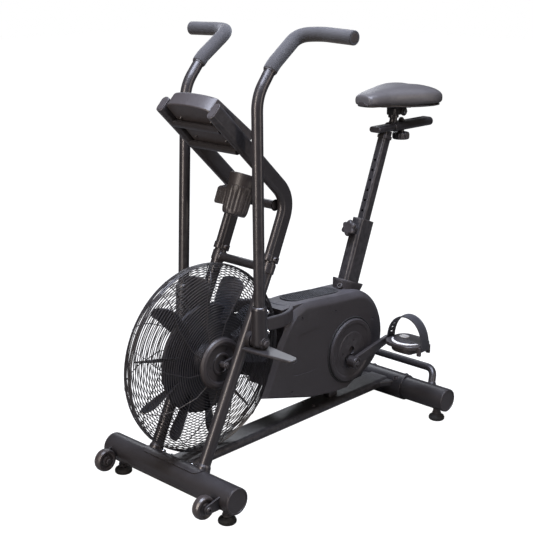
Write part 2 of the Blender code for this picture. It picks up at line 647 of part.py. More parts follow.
def foot_peg(side_name, side):
    """Pivot axle of the handle, fixed to the fork tube, with a tapered foot plate below it."""
    profile = ((0, 0.1194), (0.0225, 0.1194), (0.0225, 0.1368), (0.0085, 0.1368), (0.0085, 0.1832),
               (0.0135, 0.1832), (0.0135, 0.191), (0, 0.191))
    peg = turned("foot_peg_" + side_name, profile, (PIVOT_X, 0, PIVOT_Z), (0, side, 0), "paint", 20)
    plan = ((-0.034, 0.1215), (0.030, 0.1215), (0.032, 0.160), (0.018, 0.288), (0.008, 0.297),
            (-0.010, 0.297), (-0.017, 0.288))
    rings = [[Vector((PIVOT_X + x, side * y, PIVOT_Z + z)) for x, y in plan] for z in (-0.0285, -0.0187)]
    weld(peg, loft("plate", rings, "paint"))
    return peg


# ---- console and bottle holder ------------------------------------------------------
CONSOLE_FOOT = Vector((-0.044, 0, 1.116))
CONSOLE_UP = Vector((-0.695, 0, 0.719))
CONSOLE_OUT = Vector((0.719, 0, 0.695))


def console_point(down, y, out):
    return CONSOLE_FOOT - CONSOLE_UP * down + Y_AXIS * y + CONSOLE_OUT * out


def console_housing():
    """Wedge between the masts with an arched upper end, thicker at its lower end."""
    half, steps = 0.0862, 8
    plan = [(0.182, half - 0.012), (0.172, half)]
    plan += [(0.002 - 0.018 * math.sin(math.pi * i / steps), half * math.cos(math.pi * i / steps))
             for i in range(steps + 1)]
    plan += [(0.172, -half), (0.182, -half + 0.012)]
    rings = [[console_point(down, y, -0.004) for down, y in plan],
             [console_point(down, y, 0.036 + 0.13 * down) for down, y in plan],
             [console_point(0.006 + down * 0.95, y * 0.94, 0.044 + 0.13 * down) for down, y in plan]]
    loft("console_housing", rings, "plastic")


def console_screen():
    plan = rounded_box(0.118, 0.116, 0.012, 3)
    rings = [[console_point(0.076 + down, y, 0.0445 + 0.1365 * (0.076 + down) + lift) for down, y in plan]
             for lift in (0.0006, 0.0026)]
    loft("console_screen", rings, "glass")


def console_button():
    centre = console_point(0.158, 0, 0.0445 + 0.1365 * 0.158 + 0.0016)
    turned("console_button", ((0, 0), (0.011, 0), (0.011, 0.0022), (0.009, 0.0037), (0, 0.0037)),
           centre, CONSOLE_OUT, "white", 20)


def bottle_holder():
    """Cup that leans with the masts, open at the top, with a clamp block on its side."""
    lean = Vector((math.sin(0.40), 0, math.cos(0.40)))
    base = Vector((0.108, -0.016, 0.798))
    cup = turned("bottle_holder", ((0, 0), (0.030, 0), (0.039, 0.010), (0.041, 0.118), (0.0385, 0.118),
                                   (0.0365, 0.012), (0, 0.004)), base, lean, "plastic", 24)
    block = [base + lean * h + Vector((x, y, 0)) for h in (0.026, 0.080)
             for x, y in ((-0.020, 0.036), (0.020, 0.036), (0.020, 0.078), (-0.020, 0.078))]
    weld(cup, loft("block", [block[:4], block[4:]], "plastic"))


# ---- seat ---------------------------------------------------------------------------
def seat_post():
    """Post with a row of pin holes in a shallow groove on its front face."""
    post = sweep("seat_post", [seat_axis_point(-POST_IN), seat_axis_point(POST_OUT)],
                 rounded_box(0.030, 0.038, 0.008), Y_AXIS, "paint", seat_axis_point(0))
    cut(post, box("end", (0.70, -0.1, RAIL_Z - 0.0105), (1.0, 0.1, 1.1)))
    path = [seat_axis_point(-POST_IN - 0.01, 0.0200), seat_axis_point(POST_OUT - 0.05, 0.0200)]
    profile = ((0.0052, 0.0032), (-0.0052, 0.0032), (-0.0052, -0.0032), (0.0052, -0.0032))
    cut(post, sweep("groove", path, profile, Y_AXIS, "paint"))
    for k in range(-2, 8):
        distance = -0.036 + HOLE_PITCH * k
        start, end = seat_axis_point(distance, 0.010), seat_axis_point(distance, 0.03)
        cut(post, rod("hole", 0.0042, start, end, "paint", 10))


def pull_pin():
    """Lobed knob with a spring pin that locks the post."""
    start = seat_axis_point(-0.036, 0.0178)
    axis = Vector((-math.cos(SEAT_LEAN), 0, math.sin(SEAT_LEAN)))
    bm = bmesh.new()
    spin = Z_AXIS.rotation_difference(axis).to_matrix()
    steps = 18
    levels = ((0.0, 0.0040, 0), (0.0290, 0.0040, 0), (0.0290, 0.0095, 0), (0.0360, 0.0120, 0),
              (0.0370, 0.0225, 0.0022), (0.0400, 0.0245, 0.0024), (0.0500, 0.0245, 0.0024),
              (0.0540, 0.0205, 0.002))
    rings = []
    for height, radius, lobe in levels:
        ring = []
        for i in range(steps):
            angle = 2 * math.pi * i / steps
            reach = radius + lobe * math.cos(6 * angle)
            point = Vector((reach * math.cos(angle), reach * math.sin(angle), height))
            ring.append(bm.verts.new(start + spin @ point))
        rings.append(ring)
    bridge(bm, rings)
    bm.faces.new(rings[0])
    bm.faces.new(rings[-1])
    make("pull_pin", bm, "plastic", start)


def seat_rail():
    """Flat-oval bar on top of the post, with a slot for the clamp bolt."""
    rail = sweep("seat_rail", [(0.764, 0, RAIL_Z), (0.770, 0, RAIL_Z), (0.985, 0, RAIL_Z)],
                 rounded_box(0.044, 0.020, 0.0098, 4), Y_AXIS, "paint")
    cut(rail, box("slot", (0.893, -0.0065, 0.9), (0.975, 0.0065, 1.0)))


def seat_slider():
    """Sleeve that slides on the bar and carries the saddle on a short tube."""
    outer, inner = rounded_box(0.052, 0.028, 0.0137, 4), rounded_box(0.0448, 0.0208, 0.0102, 4)
    path = [(0.8445, 0, RAIL_Z), (1.038, 0, RAIL_Z), (1.046, 0, RAIL_Z)]
    slider = sweep("seat_slider", path, outer, Y_AXIS, "paint")
    cut(slider, sweep("bore", [(0.80, 0, RAIL_Z), (1.040, 0, RAIL_Z)], inner, Y_AXIS, "paint"))
    cut(slider, box("slot", (0.955, -0.006, RAIL_Z), (1.010, 0.006, 1.0)))
    cut(slider, rod("bolt_hole", 0.0052, (0.902, 0, 0.9), (0.902, 0, 1.0), "paint", 12))
    tube = turned("tube", ((0.0125, 0.0135), (0.0125, 0.058), (0, 0.058), (0, 0.0135)),
                  (0.859, 0, RAIL_Z), Z_AXIS, "paint", 16)
    weld(slider, tube)


def clamp_knob():
    """Star knob under the slider, with its bolt and cap nut."""
    turned("clamp_knob", ((0, -0.046), (0.026, -0.046), (0.028, -0.042), (0.028, -0.026), (0.025, -0.022),
                          (0.011, -0.0205), (0.011, -0.0148), (0.0045, -0.0148), (0.0045, 0.0148),
                          (0.0090, 0.0148), (0.0090, 0.0235), (0.0065, 0.0265), (0, 0.0265)),
           (0.902, 0, RAIL_Z), Z_AXIS, "plastic", 16)


def saddle_clamp():
    """Clamp under the saddle that grips the short tube, with its cross bolt."""
    clamp = box("saddle_clamp", (0.842, -0.020, 1.0025), (0.896, 0.020, 1.0275), "steel")
    cut(clamp, rod("bore", 0.0128, (0.859, 0, 0.99), (0.859, 0, 1.0223), "steel", 16))
    weld(clamp, rod("bolt", 0.0065, (0.886, -0.030, 1.013), (0.886, 0.030, 1.013), "steel", 12))


def saddle():
    """Plain closed form of the padded saddle: narrow nose, wide tail."""
    stations = ((0.692, 0.027, 1.048, 1.077), (0.704, 0.041, 1.041, 1.088), (0.745, 0.050, 1.038, 1.097),
                (0.800, 0.064, 1.034, 1.103), (0.850, 0.084, 1.030, 1.106), (0.900, 0.106, 1.0285, 1.106),
                (0.945, 0.119, 1.0285, 1.102), (0.978, 0.113, 1.0285, 1.092), (0.991, 0.094, 1.034, 1.080))
    steps = 16
    rings = []
    for x, half, low, high in stations:
        ring = []
        for i in range(steps):
            angle = 2 * math.pi * i / steps
            c, s = math.cos(angle), math.sin(angle)
            ring.append(Vector((x, half * math.copysign(abs(c) ** 0.6, c),
                                (low + high) / 2 + (high - low) / 2 * math.copysign(abs(s) ** 0.6, s))))
        rings.append(ring)
    loft("saddle", rings, "vinyl")


# ---- assembly -----------------------------------------------------------------------
def build_frame():
    stabiliser("front_stabiliser", FRONT_X)
    stabiliser("rear_stabiliser", REAR_X)
    main_rail()
    lift_handle()
    both_sides(fork_tube)
    fork_brace()
    both_sides(mast)
    mast_cross_tube()
    seat_tube()
    for end, x in (("front", FRONT_X), ("rear", REAR_X)):
        both_sides(lambda name, side: foot("foot_%s_%s" % (end, name), x, side * FOOT_Y))
    both_sides(wheel_bracket)
    both_sides(transport_wheel)


def build_fan():
    both_sides(guard)
    hub_cover()
    fan_axle()
    fan_wheel()
    fan_pulley()


def build_drive():
    drive_pulley()
    drive_belt()
    crank_axle()
    both_sides(crank_arm)
    both_sides(pedal)
    both_sides(pedal_strap)


def build_covers():
    for half, side in zip(both_sides(cover), (-1, 1)):
        cut_cover(half, side)
    belt_guard()
    crank_cover()
    both_sides(shroud_arm)
    seat_collar()


def build_handles():
    both_sides(lever)
    both_sides(grip)
    both_sides(lever_socket)
    both_sides(foot_peg)


def build_console():
    console_housing()
    console_screen()
    console_button()
    bottle_holder()


def build_seat():
    seat_post()
    pull_pin()
    seat_rail()
    seat_slider()
    clamp_knob()
    saddle_clamp()
    saddle()


def main():
    for obj in list(bpy.data.objects):
        bpy.data.objects.remove(obj)
    build_frame()
    build_fan()
    build_drive()
    build_covers()
    build_handles()
    build_console()
    build_seat()
    for obj in bpy.data.objects:
        obj.location.x -= MID_X


main()
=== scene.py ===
"""Looks for the air bike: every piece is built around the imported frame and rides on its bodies.

Lengths along the bike are measured from the fan axle, whose place in the frame is AXLE_X. The fan is
at -X and the rider's left is -Y.
"""

import math

import bmesh
import bpy
from bpy.props import FloatProperty, FloatVectorProperty, IntProperty, PointerProperty
from mathutils import Matrix, Vector


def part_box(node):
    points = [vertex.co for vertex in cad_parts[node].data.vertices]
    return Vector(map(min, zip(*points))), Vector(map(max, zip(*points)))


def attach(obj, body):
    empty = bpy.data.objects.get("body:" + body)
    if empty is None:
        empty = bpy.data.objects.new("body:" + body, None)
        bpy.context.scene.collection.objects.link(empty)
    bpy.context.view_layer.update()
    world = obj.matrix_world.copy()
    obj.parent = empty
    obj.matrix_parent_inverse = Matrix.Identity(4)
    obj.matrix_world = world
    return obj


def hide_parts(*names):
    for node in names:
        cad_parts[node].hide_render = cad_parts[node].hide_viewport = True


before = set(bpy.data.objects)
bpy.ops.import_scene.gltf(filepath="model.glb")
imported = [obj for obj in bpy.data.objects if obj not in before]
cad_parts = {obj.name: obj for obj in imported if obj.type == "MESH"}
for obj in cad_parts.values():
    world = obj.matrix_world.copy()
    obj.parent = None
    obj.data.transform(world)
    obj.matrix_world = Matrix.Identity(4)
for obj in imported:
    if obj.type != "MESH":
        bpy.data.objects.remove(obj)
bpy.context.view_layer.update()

bl_info = {
    "name": "Air bike",
    "version": (1, 0, 0),
    "blender": (4, 5, 0),
    "location": "View3D > Sidebar > Air bike",
    "description": "Builds an air bike's visible pieces, finishes and studio around its CAD frame",
    "category": "Add Mesh",
}


def middle(node):
    low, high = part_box(node)
    return (low + high) / 2


# ---- places taken from the frame ------------------------------------------------------
AXLE_X = middle("fan_axle").x
FAN_Z = middle("fan_axle").z
CRANK = middle("crank_axle") - Vector((AXLE_X, 0, 0))
FRONT = middle("front_stabiliser") - Vector((AXLE_X, 0, 0))
REAR = middle("rear_stabiliser") - Vector((AXLE_X, 0, 0))
STAB_R = (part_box("front_stabiliser")[1].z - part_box("front_stabiliser")[0].z) / 2
STAB_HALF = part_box("front_stabiliser")[1].y
RAIL_Z = middle("seat_rail").z
PEDALS = {side: middle("pedal_" + side) - Vector((AXLE_X, 0, 0)) for side in ("left", "right")}

# ---- driving sizes and places, in metres ----------------------------------------------
GUARD_R, GUARD_HALF = 0.279, 0.057
FOOT_Y = 0.225
FORK_Y, FORK_R = 0.101, 0.018
FORK_FOOT, FORK_TOP = (-0.118, 0.083), (0.169, 0.664)
PIVOT_X, PIVOT_Z = 0.066, 0.462
LEVER_Y, LEVER_R, GRIP_R = 0.160, 0.016, 0.020
LEVER_LEAN = math.radians(1.5)
SEAT_LEAN = math.atan(0.38)
SEAT_TOP = (0.715, 0.672)
POST_OUT, POST_IN, HOLE_PITCH = 0.291, 0.168, 0.0337
WHEEL_X, WHEEL_Z, WHEEL_Y = -0.2085, 0.070, 0.212
X_AXIS, Y_AXIS, Z_AXIS = Vector((1, 0, 0)), Vector((0, 1, 0)), Vector((0, 0, 1))
SIDES = (("left", -1), ("right", 1))


# ---- settings a user would change -----------------------------------------------------
def length(name, default, description):
    return FloatProperty(name=name, default=default, min=0.0, description=description,
                         subtype="DISTANCE", unit="LENGTH", precision=4)


def colour(name, default, description):
    return FloatVectorProperty(name=name, default=default, size=3, min=0.0, max=1.0,
                               description=description, subtype="COLOR")


def factor(name, default, description):
    return FloatProperty(name=name, default=default, min=0.0, max=1.0, description=description,
                         subtype="FACTOR")


class AirBikeColours(bpy.types.PropertyGroup):
    paint: colour("Paint", (0.027, 0.0245, 0.0255), "Powder coat on the frame's tubes")
    handle: colour("Handles", (0.027, 0.0245, 0.0255), "Powder coat on the handles")
    cover: colour("Cover", (0.026, 0.0225, 0.0235), "Grained plastic of the belt cover")
    trim: colour("Trim", (0.026, 0.022, 0.022), "Satin plastic of caps, cup and knobs")
    wire: colour("Wire", (0.030, 0.028, 0.029), "Coated wires of the fan guard")
    blade: colour("Blades", (0.020, 0.020, 0.025), "Paint on the fan's paddles")
    foam: colour("Foam", (0.019, 0.0185, 0.020), "Closed-cell foam of the grips")
    vinyl: colour("Saddle", (0.060, 0.056, 0.056), "Vinyl of the saddle")
    rubber: colour("Rubber", (0.012, 0.012, 0.012), "Feet, straps and belt")
    pale: colour("Pale inserts", (0.66, 0.65, 0.63), "Inserts on the pedals")


class AirBikeSizes(bpy.types.PropertyGroup):
    wire_radius: length("Guard wire", 0.00125, "Radius of the guard's ring wires")
    wire_pitch: length("Wire pitch", 0.0078, "Distance between neighbouring ring wires")
    spokes: IntProperty(name="Spokes", default=10, min=3, description="Radial wires on each guard half")
    blades: IntProperty(name="Paddles", default=10, min=2, description="Paddles on the fan wheel")
    grain: factor("Grain", 0.35, "Depth of the plastic's moulded grain")
    wear: factor("Wear", 0.25, "How far edges are rubbed bright")


# ---- drawing tools --------------------------------------------------------------------
def circle(radius, steps):
    turn = 2 * math.pi / steps
    return [(radius * math.cos(i * turn), radius * math.sin(i * turn)) for i in range(steps)]


def rounded_box(width, height, radius, steps=10):
    """Outline of a rectangle with rounded corners, counter-clockwise."""
    points = []
    for corner, (sx, sy) in enumerate(((1, 1), (-1, 1), (-1, -1), (1, -1))):
        for i in range(steps + 1):
            angle = math.pi / 2 * (corner + i / steps)
            points.append((sx * (width / 2 - radius) + radius * math.cos(angle),
                           sy * (height / 2 - radius) + radius * math.sin(angle)))
    return points


def fillet(corners, radius, steps=8):
    """A path through the corner points with each inner corner rounded."""
    corners = [Vector(c) for c in corners]
    path = [corners[0]]
    for before, corner, after in zip(corners, corners[1:], corners[2:]):
        into, out = before - corner, after - corner
        if into.length < 1e-7 or out.length < 1e-7:
            continue
        bend = math.pi - into.angle(out)
        reach = min(radius * math.tan(bend / 2), into.length * 0.49, out.length * 0.49)
        start, end = corner + into.normalized() * reach, corner + out.normalized() * reach
        for i in range(steps + 1):
            t = i / steps
            path.append(start * (1 - t) ** 2 + corner * 2 * t * (1 - t) + end * t * t)
    return path + [corners[-1]]


def link_outline(start, end, r_start, r_end, steps=24):
    """Outline of a flat link with a round end about each of two points."""
    (x0, z0), (x1, z1) = start, end
    heading = math.atan2(z1 - z0, x1 - x0)
    lean = math.asin((r_end - r_start) / math.hypot(x1 - x0, z1 - z0))
    points = []
    for (x, z), radius, first, span in (((x0, z0), r_start, math.pi / 2 + lean, math.pi - 2 * lean),
                                        ((x1, z1), r_end, -math.pi / 2 - lean, math.pi + 2 * lean)):
        for i in range(steps + 1):
            angle = heading + first + span * i / steps
            points.append((x + radius * math.cos(angle), z + radius * math.sin(angle)))
    return points


def bridge(bm, rings, closed=False):
    pairs = list(zip(rings, rings[1:])) + ([(rings[-1], rings[0])] if closed else [])
    for low, high in pairs:
        for i in range(len(low)):
            j = (i + 1) % len(low)
            corners = (low[i], low[j], high[j], high[i])
            face = [v for k, v in enumerate(corners) if v not in corners[:k]]
            if len(face) > 2:
                bm.faces.new(face)


def loft(bm, rings, closed=False):
    """A solid through rings of points; closed joins the last ring to the first."""
    rings = [[bm.verts.new(p) for p in ring] for ring in rings]
    bridge(bm, rings, closed)
    if not closed:
        bm.faces.new(rings[0])
        bm.faces.new(rings[-1])


def sweep_rings(path, profile, side, closed=False):
    side = Vector(side)
    rings = []
    for i, point in enumerate(path):
        before = path[i - 1] if i or closed else point
        after = path[(i + 1) % len(path)] if i + 1 < len(path) or closed else point
        along = (Vector(after) - Vector(before)).normalized()
        side = (side - along * side.dot(along)).normalized()
        up = along.cross(side)
        rings.append([Vector(point) + side * a + up * b for a, b in profile])
    return rings


def shrunk(ring, amount, push):
    """A ring drawn in towards its middle and pushed along a vector."""
    centre = sum(ring, Vector()) / len(ring)
    return [p + (centre - p).normalized() * min(amount, (centre - p).length * 0.95) + push for p in ring]


def sweep(bm, path, profile, side, closed=False, ends=0.0):
    """A profile carried along a path; ends rounds the two ends off by that much."""
    rings = sweep_rings(path, profile, side, closed)
    if ends and not closed:
        first = (Vector(path[0]) - Vector(path[1])).normalized()
        last = (Vector(path[-1]) - Vector(path[-2])).normalized()
        turns = [math.radians(a) for a in (30, 60, 90)]
        head = [shrunk(rings[0], ends * (1 - math.cos(a)), first * ends * math.sin(a)) for a in turns]
        tail = [shrunk(rings[-1], ends * (1 - math.cos(a)), last * ends * math.sin(a)) for a in turns]
        rings = head[::-1] + rings + tail
    loft(bm, rings, closed)


def turned(bm, profile, centre, axis, steps=64, soft=0.0, closed=False):
    """Turn (radius, height) points about an axis; soft rounds the profile's corners."""
    points = [Vector(p) for p in profile]
    if soft:
        points = fillet(points, soft, 4)
    spin = Z_AXIS.rotation_difference(Vector(axis)).to_matrix()
    rings = []
    for radius, height in points:
        if radius < 1e-6:
            ring = [bm.verts.new(Vector(centre) + spin @ Vector((0, 0, height)))] * steps
        else:
            ring = [bm.verts.new(Vector(centre) + spin @ Vector((x, y, height)))
                    for x, y in circle(radius, steps)]
        rings.append(ring)
    bridge(bm, rings, closed)


def rod(bm, radius, start, end, steps=40, soft=0.0012):
    start, end = Vector(start), Vector(end)
    reach = (end - start).length
    turned(bm, ((0, 0), (radius, 0), (radius, reach), (0, reach)), start, end - start, steps, soft)


def slab(bm, outline, low, high, place, soft=0.0):
    """A flat plate: outline (a, b) points at two levels, put in space by place(a, b, level)."""
    if soft <= 0:
        loft(bm, [[place(a, b, level) for a, b in outline] for level in (low, high)])
        return
    flat = [Vector((a, b)) for a, b in outline]
    count = len(flat)
    inward = []
    area = sum(flat[i - 1].x * flat[i].y - flat[i].x * flat[i - 1].y for i in range(count))
    turn = 1 if area > 0 else -1
    for i in range(count):
        before, after = flat[i] - flat[i - 1], flat[(i + 1) % count] - flat[i]
        normals = [Vector((-d.y, d.x)).normalized() * turn for d in (before, after) if d.length > 1e-9]
        total = sum(normals, Vector((0, 0)))
        total = total.normalized() if total.length > 1e-6 else Vector((0, 0))
        inward.append(total / max(0.5, total.dot(normals[0]) if normals else 1.0))
    levels = []
    sign = 1 if high > low else -1
    for degrees in (0, 30, 60, 90):
        angle = math.radians(degrees)
        levels.append((low + sign * soft * (1 - math.sin(angle)), soft * (1 - math.cos(angle))))
    bottom = levels[::-1]
    top = [(high - (level - low), inset) for level, inset in levels]
    rings = []
    for level, inset in bottom + top:
        rings.append([place(p.x + n.x * inset, p.y + n.y * inset, level) for p, n in zip(flat, inward)])
    loft(bm, rings)


def upright(y_sign=1):
    """Place a side-view outline (x, z) at a depth across the bike."""
    return lambda x, z, y: Vector((x, y * y_sign, z))


def level(x, y, z):
    """Place a plan-view outline (x, y) at a height."""
    return Vector((x, y, z))


def button_bolt(bm, centre, axis, radius=0.006, height=None):
    """Domed bolt head with a socket."""
    height = radius * 0.75 if height is None else height
    turned(bm, ((0, height * 0.45), (radius * 0.42, height * 0.45), (radius * 0.46, height * 0.96),
                (radius * 0.62, height * 0.93), (radius * 0.9, height * 0.55), (radius, 0.0005),
                (radius, -0.001), (0, -0.001)), centre, axis, 28)


def hex_nut(bm, centre, axis, radius, height):
    spin = Z_AXIS.rotation_difference(Vector(axis)).to_matrix()
    rings = []
    for scale, z in ((0.88, 0), (1, height * 0.12), (1, height * 0.88), (0.88, height)):
        rings.append([Vector(centre) + spin @ Vector((x * scale, y * scale, z)) for x,
                      y in circle(radius, 6)])
    loft(bm, rings)


def combine(target, other, operation):
    """Weld another object to the target, or cut it out, and drop the other object."""
    bpy.context.view_layer.update()
    modifier = target.modifiers.new(operation, "BOOLEAN")
    modifier.operation = operation
    modifier.use_self = True
    modifier.object = other
    graph = bpy.context.evaluated_depsgraph_get()
    mesh = bpy.data.meshes.new_from_object(target.evaluated_get(graph))
    target.modifiers.clear()
    target.data = mesh
    bpy.data.objects.remove(other)
    smooth(mesh)


def smooth(mesh, degrees=32):
    mesh.shade_smooth()
    mesh.set_sharp_from_angle(angle=math.radians(degrees))


def raw(name, bm):
    """An object in bike lengths, moved to the frame's place."""
    bmesh.ops.remove_doubles(bm, verts=bm.verts, dist=1e-6)
    bmesh.ops.recalc_face_normals(bm, faces=bm.faces)
    bmesh.ops.translate(bm, verts=bm.verts, vec=(AXLE_X, 0, 0))
    mesh = bpy.data.meshes.new(name)
    bm.to_mesh(mesh)
    bm.free()
    smooth(mesh)
    obj = bpy.data.objects.new(name, mesh)
    bpy.context.scene.collection.objects.link(obj)
    return obj


def piece(name, bm, finish, body, stands_for=(), cutters=None):
    """Make a piece, give it its finish, and let it ride on its body."""
    obj = raw(name, bm)
    if cutters is not None:
        combine(obj, raw(name + "_cutter", cutters), "DIFFERENCE")
        obj.data.materials.clear()
    obj.data.materials.append(FINISHES[finish]())
    shading = obj.modifiers.new("Even shading", "WEIGHTED_NORMAL")
    shading.keep_sharp = True
    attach(obj, body)
    if stands_for:
        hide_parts(*stands_for)
    return obj


# ---- shader groups --------------------------------------------------------------------
def new_group(name, inputs, outputs):
    """An empty shader group with float inputs (name, default) and outputs (name, socket type)."""
    group = bpy.data.node_groups.new(name, "ShaderNodeTree")
    for label, default in inputs:
        socket = group.interface.new_socket(label, in_out="INPUT", socket_type="NodeSocketFloat")
        socket.default_value = default
    for label, kind in outputs:
        group.interface.new_socket(label, in_out="OUTPUT", socket_type=kind)
    return group, group.nodes.new("NodeGroupInput"), group.nodes.new("NodeGroupOutput")


def maths(nodes, links, operation, a, b=0.0, clamp=False):
    node = nodes.new("ShaderNodeMath")
    node.operation = operation
    node.use_clamp = clamp
    for socket, value in zip(node.inputs, (a, b)):
        if isinstance(value, (int, float)):
            socket.default_value = value
        else:
            links.new(value, socket)
    return node.outputs[0]


def stretch(nodes, links, value, low, high):
    """Map a value from low..high to 0..1, clamped."""
    node = nodes.new("ShaderNodeMapRange")
    links.new(value, node.inputs["Value"])
    node.inputs["From Min"].default_value = low
    node.inputs["From Max"].default_value = high
    return node.outputs["Result"]


def noise(nodes, links, scale, detail=3.0, roughness=0.55):
    coords = nodes.new("ShaderNodeTexCoord")
    node = nodes.new("ShaderNodeTexNoise")
    node.inputs["Detail"].default_value = detail
    node.inputs["Roughness"].default_value = roughness
    links.new(coords.outputs["Object"], node.inputs["Vector"])
    if isinstance(scale, (int, float)):
        node.inputs["Scale"].default_value = scale
    else:
        links.new(scale, node.inputs["Scale"])
    return node.outputs["Fac"]


def grain_group():
    """Height of a moulded or sprayed surface: fine cells over a slow orange-peel wave."""
    found = bpy.data.node_groups.get("Surface grain")
    if found:
        return found
    group, given, result = new_group("Surface grain", (("Fine scale", 900.0), ("Wave scale", 90.0),
                                                       ("Wave", 0.5)),
                                     (("Height", "NodeSocketFloat"), ("Mottle", "NodeSocketFloat")))
    nodes, links = group.nodes, group.links
    coords = nodes.new("ShaderNodeTexCoord")
    cells = nodes.new("ShaderNodeTexVoronoi")
    cells.feature = "SMOOTH_F1"
    cells.inputs["Smoothness"].default_value = 0.7
    links.new(coords.outputs["Object"], cells.inputs["Vector"])
    links.new(given.outputs["Fine scale"], cells.inputs["Scale"])
    wave = noise(nodes, links, given.outputs["Wave scale"], 2.0)
    tall = maths(nodes, links, "MULTIPLY", wave, given.outputs["Wave"])
    links.new(maths(nodes, links, "ADD", cells.outputs["Distance"], tall), result.inputs["Height"])
    links.new(noise(nodes, links, 11.0, 5.0, 0.65), result.inputs["Mottle"])
    return group


def wear_group():
    """Mask of rubbed edges: convex edges broken up by scuffs."""
    found = bpy.data.node_groups.get("Edge wear")
    if found:
        return found
    group, given, result = new_group("Edge wear", (("Amount", 0.3), ("Scuff scale", 60.0)),
                                     (("Mask", "NodeSocketFloat"),))
    nodes, links = group.nodes, group.links
    geometry = nodes.new("ShaderNodeNewGeometry")
    edge = stretch(nodes, links, geometry.outputs["Pointiness"], 0.52, 0.62)
    scuff = stretch(nodes, links, noise(nodes, links, given.outputs["Scuff scale"], 6.0, 0.7), 0.40, 0.62)
    both = maths(nodes, links, "MULTIPLY", edge, scuff)
    links.new(maths(nodes, links, "MULTIPLY", both, given.outputs["Amount"], True), result.inputs["Mask"])
    return group


def dust_and_top_light_group():
    """Mask of faces that look up, broken into patches: partly fine settled dust, partly painted top light
    that lightens and tints those faces.
    """
    found = bpy.data.node_groups.get("Dust and painted top light")
    if found:
        return found
    group, given, result = new_group("Dust and painted top light", (("Amount", 0.1), ("Patch scale", 9.0)),
                                     (("Mask", "NodeSocketFloat"),))
    nodes, links = group.nodes, group.links
    geometry = nodes.new("ShaderNodeNewGeometry")
    split = nodes.new("ShaderNodeSeparateXYZ")
    links.new(geometry.outputs["Normal"], split.inputs[0])
    up = stretch(nodes, links, split.outputs["Z"], 0.1, 1.0)
    patch = stretch(nodes, links, noise(nodes, links, given.outputs["Patch scale"], 6.0, 0.7), 0.25, 0.8)
    both = maths(nodes, links, "MULTIPLY", up, patch)
    links.new(maths(nodes, links, "MULTIPLY", both, given.outputs["Amount"], True), result.inputs["Mask"])
    return group


def use_group(nodes, group, values):
    node = nodes.new("ShaderNodeGroup")
    node.node_tree = group
    for label, value in values.items():
        node.inputs[label].default_value = value
    return node


def blend_colour(nodes, links, mask, first, second):
    """Mix two colours, each a tuple or a socket, by a mask."""
    node = nodes.new("ShaderNodeMix")
    node.data_type = "RGBA"
    links.new(mask, node.inputs["Factor"])
    for label, value in (("A", first), ("B", second)):
        socket = next(s for s in node.inputs if s.name == label and s.type == "RGBA")
        if isinstance(value, bpy.types.NodeSocket):
            links.new(value, socket)
        else:
            socket.default_value = (*value, 1)
    return next(s for s in node.outputs if s.type == "RGBA")


# The up-facing colour defaults to a pale bluish grey, which is painted top light as much as dust.
def surface(name, base, rough, metallic=0.0, fine=900.0, wave=90.0, wave_depth=0.5, bump=0.2,
            bump_distance=0.0004, mottle=0.16, wear=0.25, worn=(0.20, 0.19, 0.19), dust_and_top_light=0.10,
            dust_and_top_light_colour=(0.26, 0.26, 0.29), specular=0.5, coat=0.0, sheen=0.0, pattern=None):
    """A finish: base colour with mottling, rubbed edges, settled dust mixed with painted top light on
    up-facing faces, and a grained or sprayed bump.
    """
    found = bpy.data.materials.get(name)
    if found:
        return found
    material = bpy.data.materials.new(name)
    material.use_nodes = True
    nodes, links = material.node_tree.nodes, material.node_tree.links
    shader = nodes["Principled BSDF"]
    shader.inputs["Metallic"].default_value = metallic
    shader.inputs["Specular IOR Level"].default_value = specular
    shader.inputs["Coat Weight"].default_value = coat
    shader.inputs["Coat Roughness"].default_value = 0.25
    shader.inputs["Sheen Weight"].default_value = sheen
    shader.inputs["Sheen Roughness"].default_value = 0.5
    grain = use_group(nodes, grain_group(), {"Fine scale": fine, "Wave scale": wave, "Wave": wave_depth})
    rubbed = use_group(nodes, wear_group(), {"Amount": wear})
    # Up-facing mask: partly settled dust, partly painted top light.
    dust_and_top_light_node = use_group(nodes, dust_and_top_light_group(), {"Amount": dust_and_top_light})
    light = tuple(min(1.0, c * (1 + mottle) + 0.001) for c in base)
    dark = tuple(c * (1 - mottle) for c in base)
    tone = blend_colour(nodes, links, grain.outputs["Mottle"], dark, light)
    if pattern:
        tone = pattern(nodes, links, tone)
    tone = blend_colour(nodes, links, rubbed.outputs["Mask"], tone, worn)
    # Painted top light and dust: faces that look up are blended toward a lighter, bluish tone that stands in
    # partly for light from above.
    tone = blend_colour(nodes, links, dust_and_top_light_node.outputs["Mask"], tone, dust_and_top_light_colour)
    links.new(tone, shader.inputs["Base Color"])
    spread = maths(nodes, links, "MULTIPLY", grain.outputs["Mottle"], 0.16)
    roughness = maths(nodes, links, "ADD", spread, rough - 0.08)
    up_face_roughness = maths(nodes, links, "MULTIPLY", dust_and_top_light_node.outputs["Mask"], 0.5)
    links.new(maths(nodes, links, "ADD", roughness, up_face_roughness, True), shader.inputs["Roughness"])
    relief = nodes.new("ShaderNodeBump")
    relief.inputs["Strength"].default_value = bump
    relief.inputs["Distance"].default_value = bump_distance
    links.new(grain.outputs["Height"], relief.inputs["Height"])
    links.new(relief.outputs["Normal"], shader.inputs["Normal"])
    return material


def colours():
    return bpy.context.scene.air_bike_colours


def sizes():
    return bpy.context.scene.air_bike_sizes


def powder_coat():
    return surface("Charcoal powder coat", tuple(colours().paint), 0.34, 0.35, 700, 160, 0.9, 0.16,
                   wear=sizes().wear, coat=0.15)


def handle_coat():
    return surface("Handle powder coat", tuple(colours().handle), 0.32, 0.35, 700, 160, 0.9, 0.14,
                   wear=sizes().wear, coat=0.2)


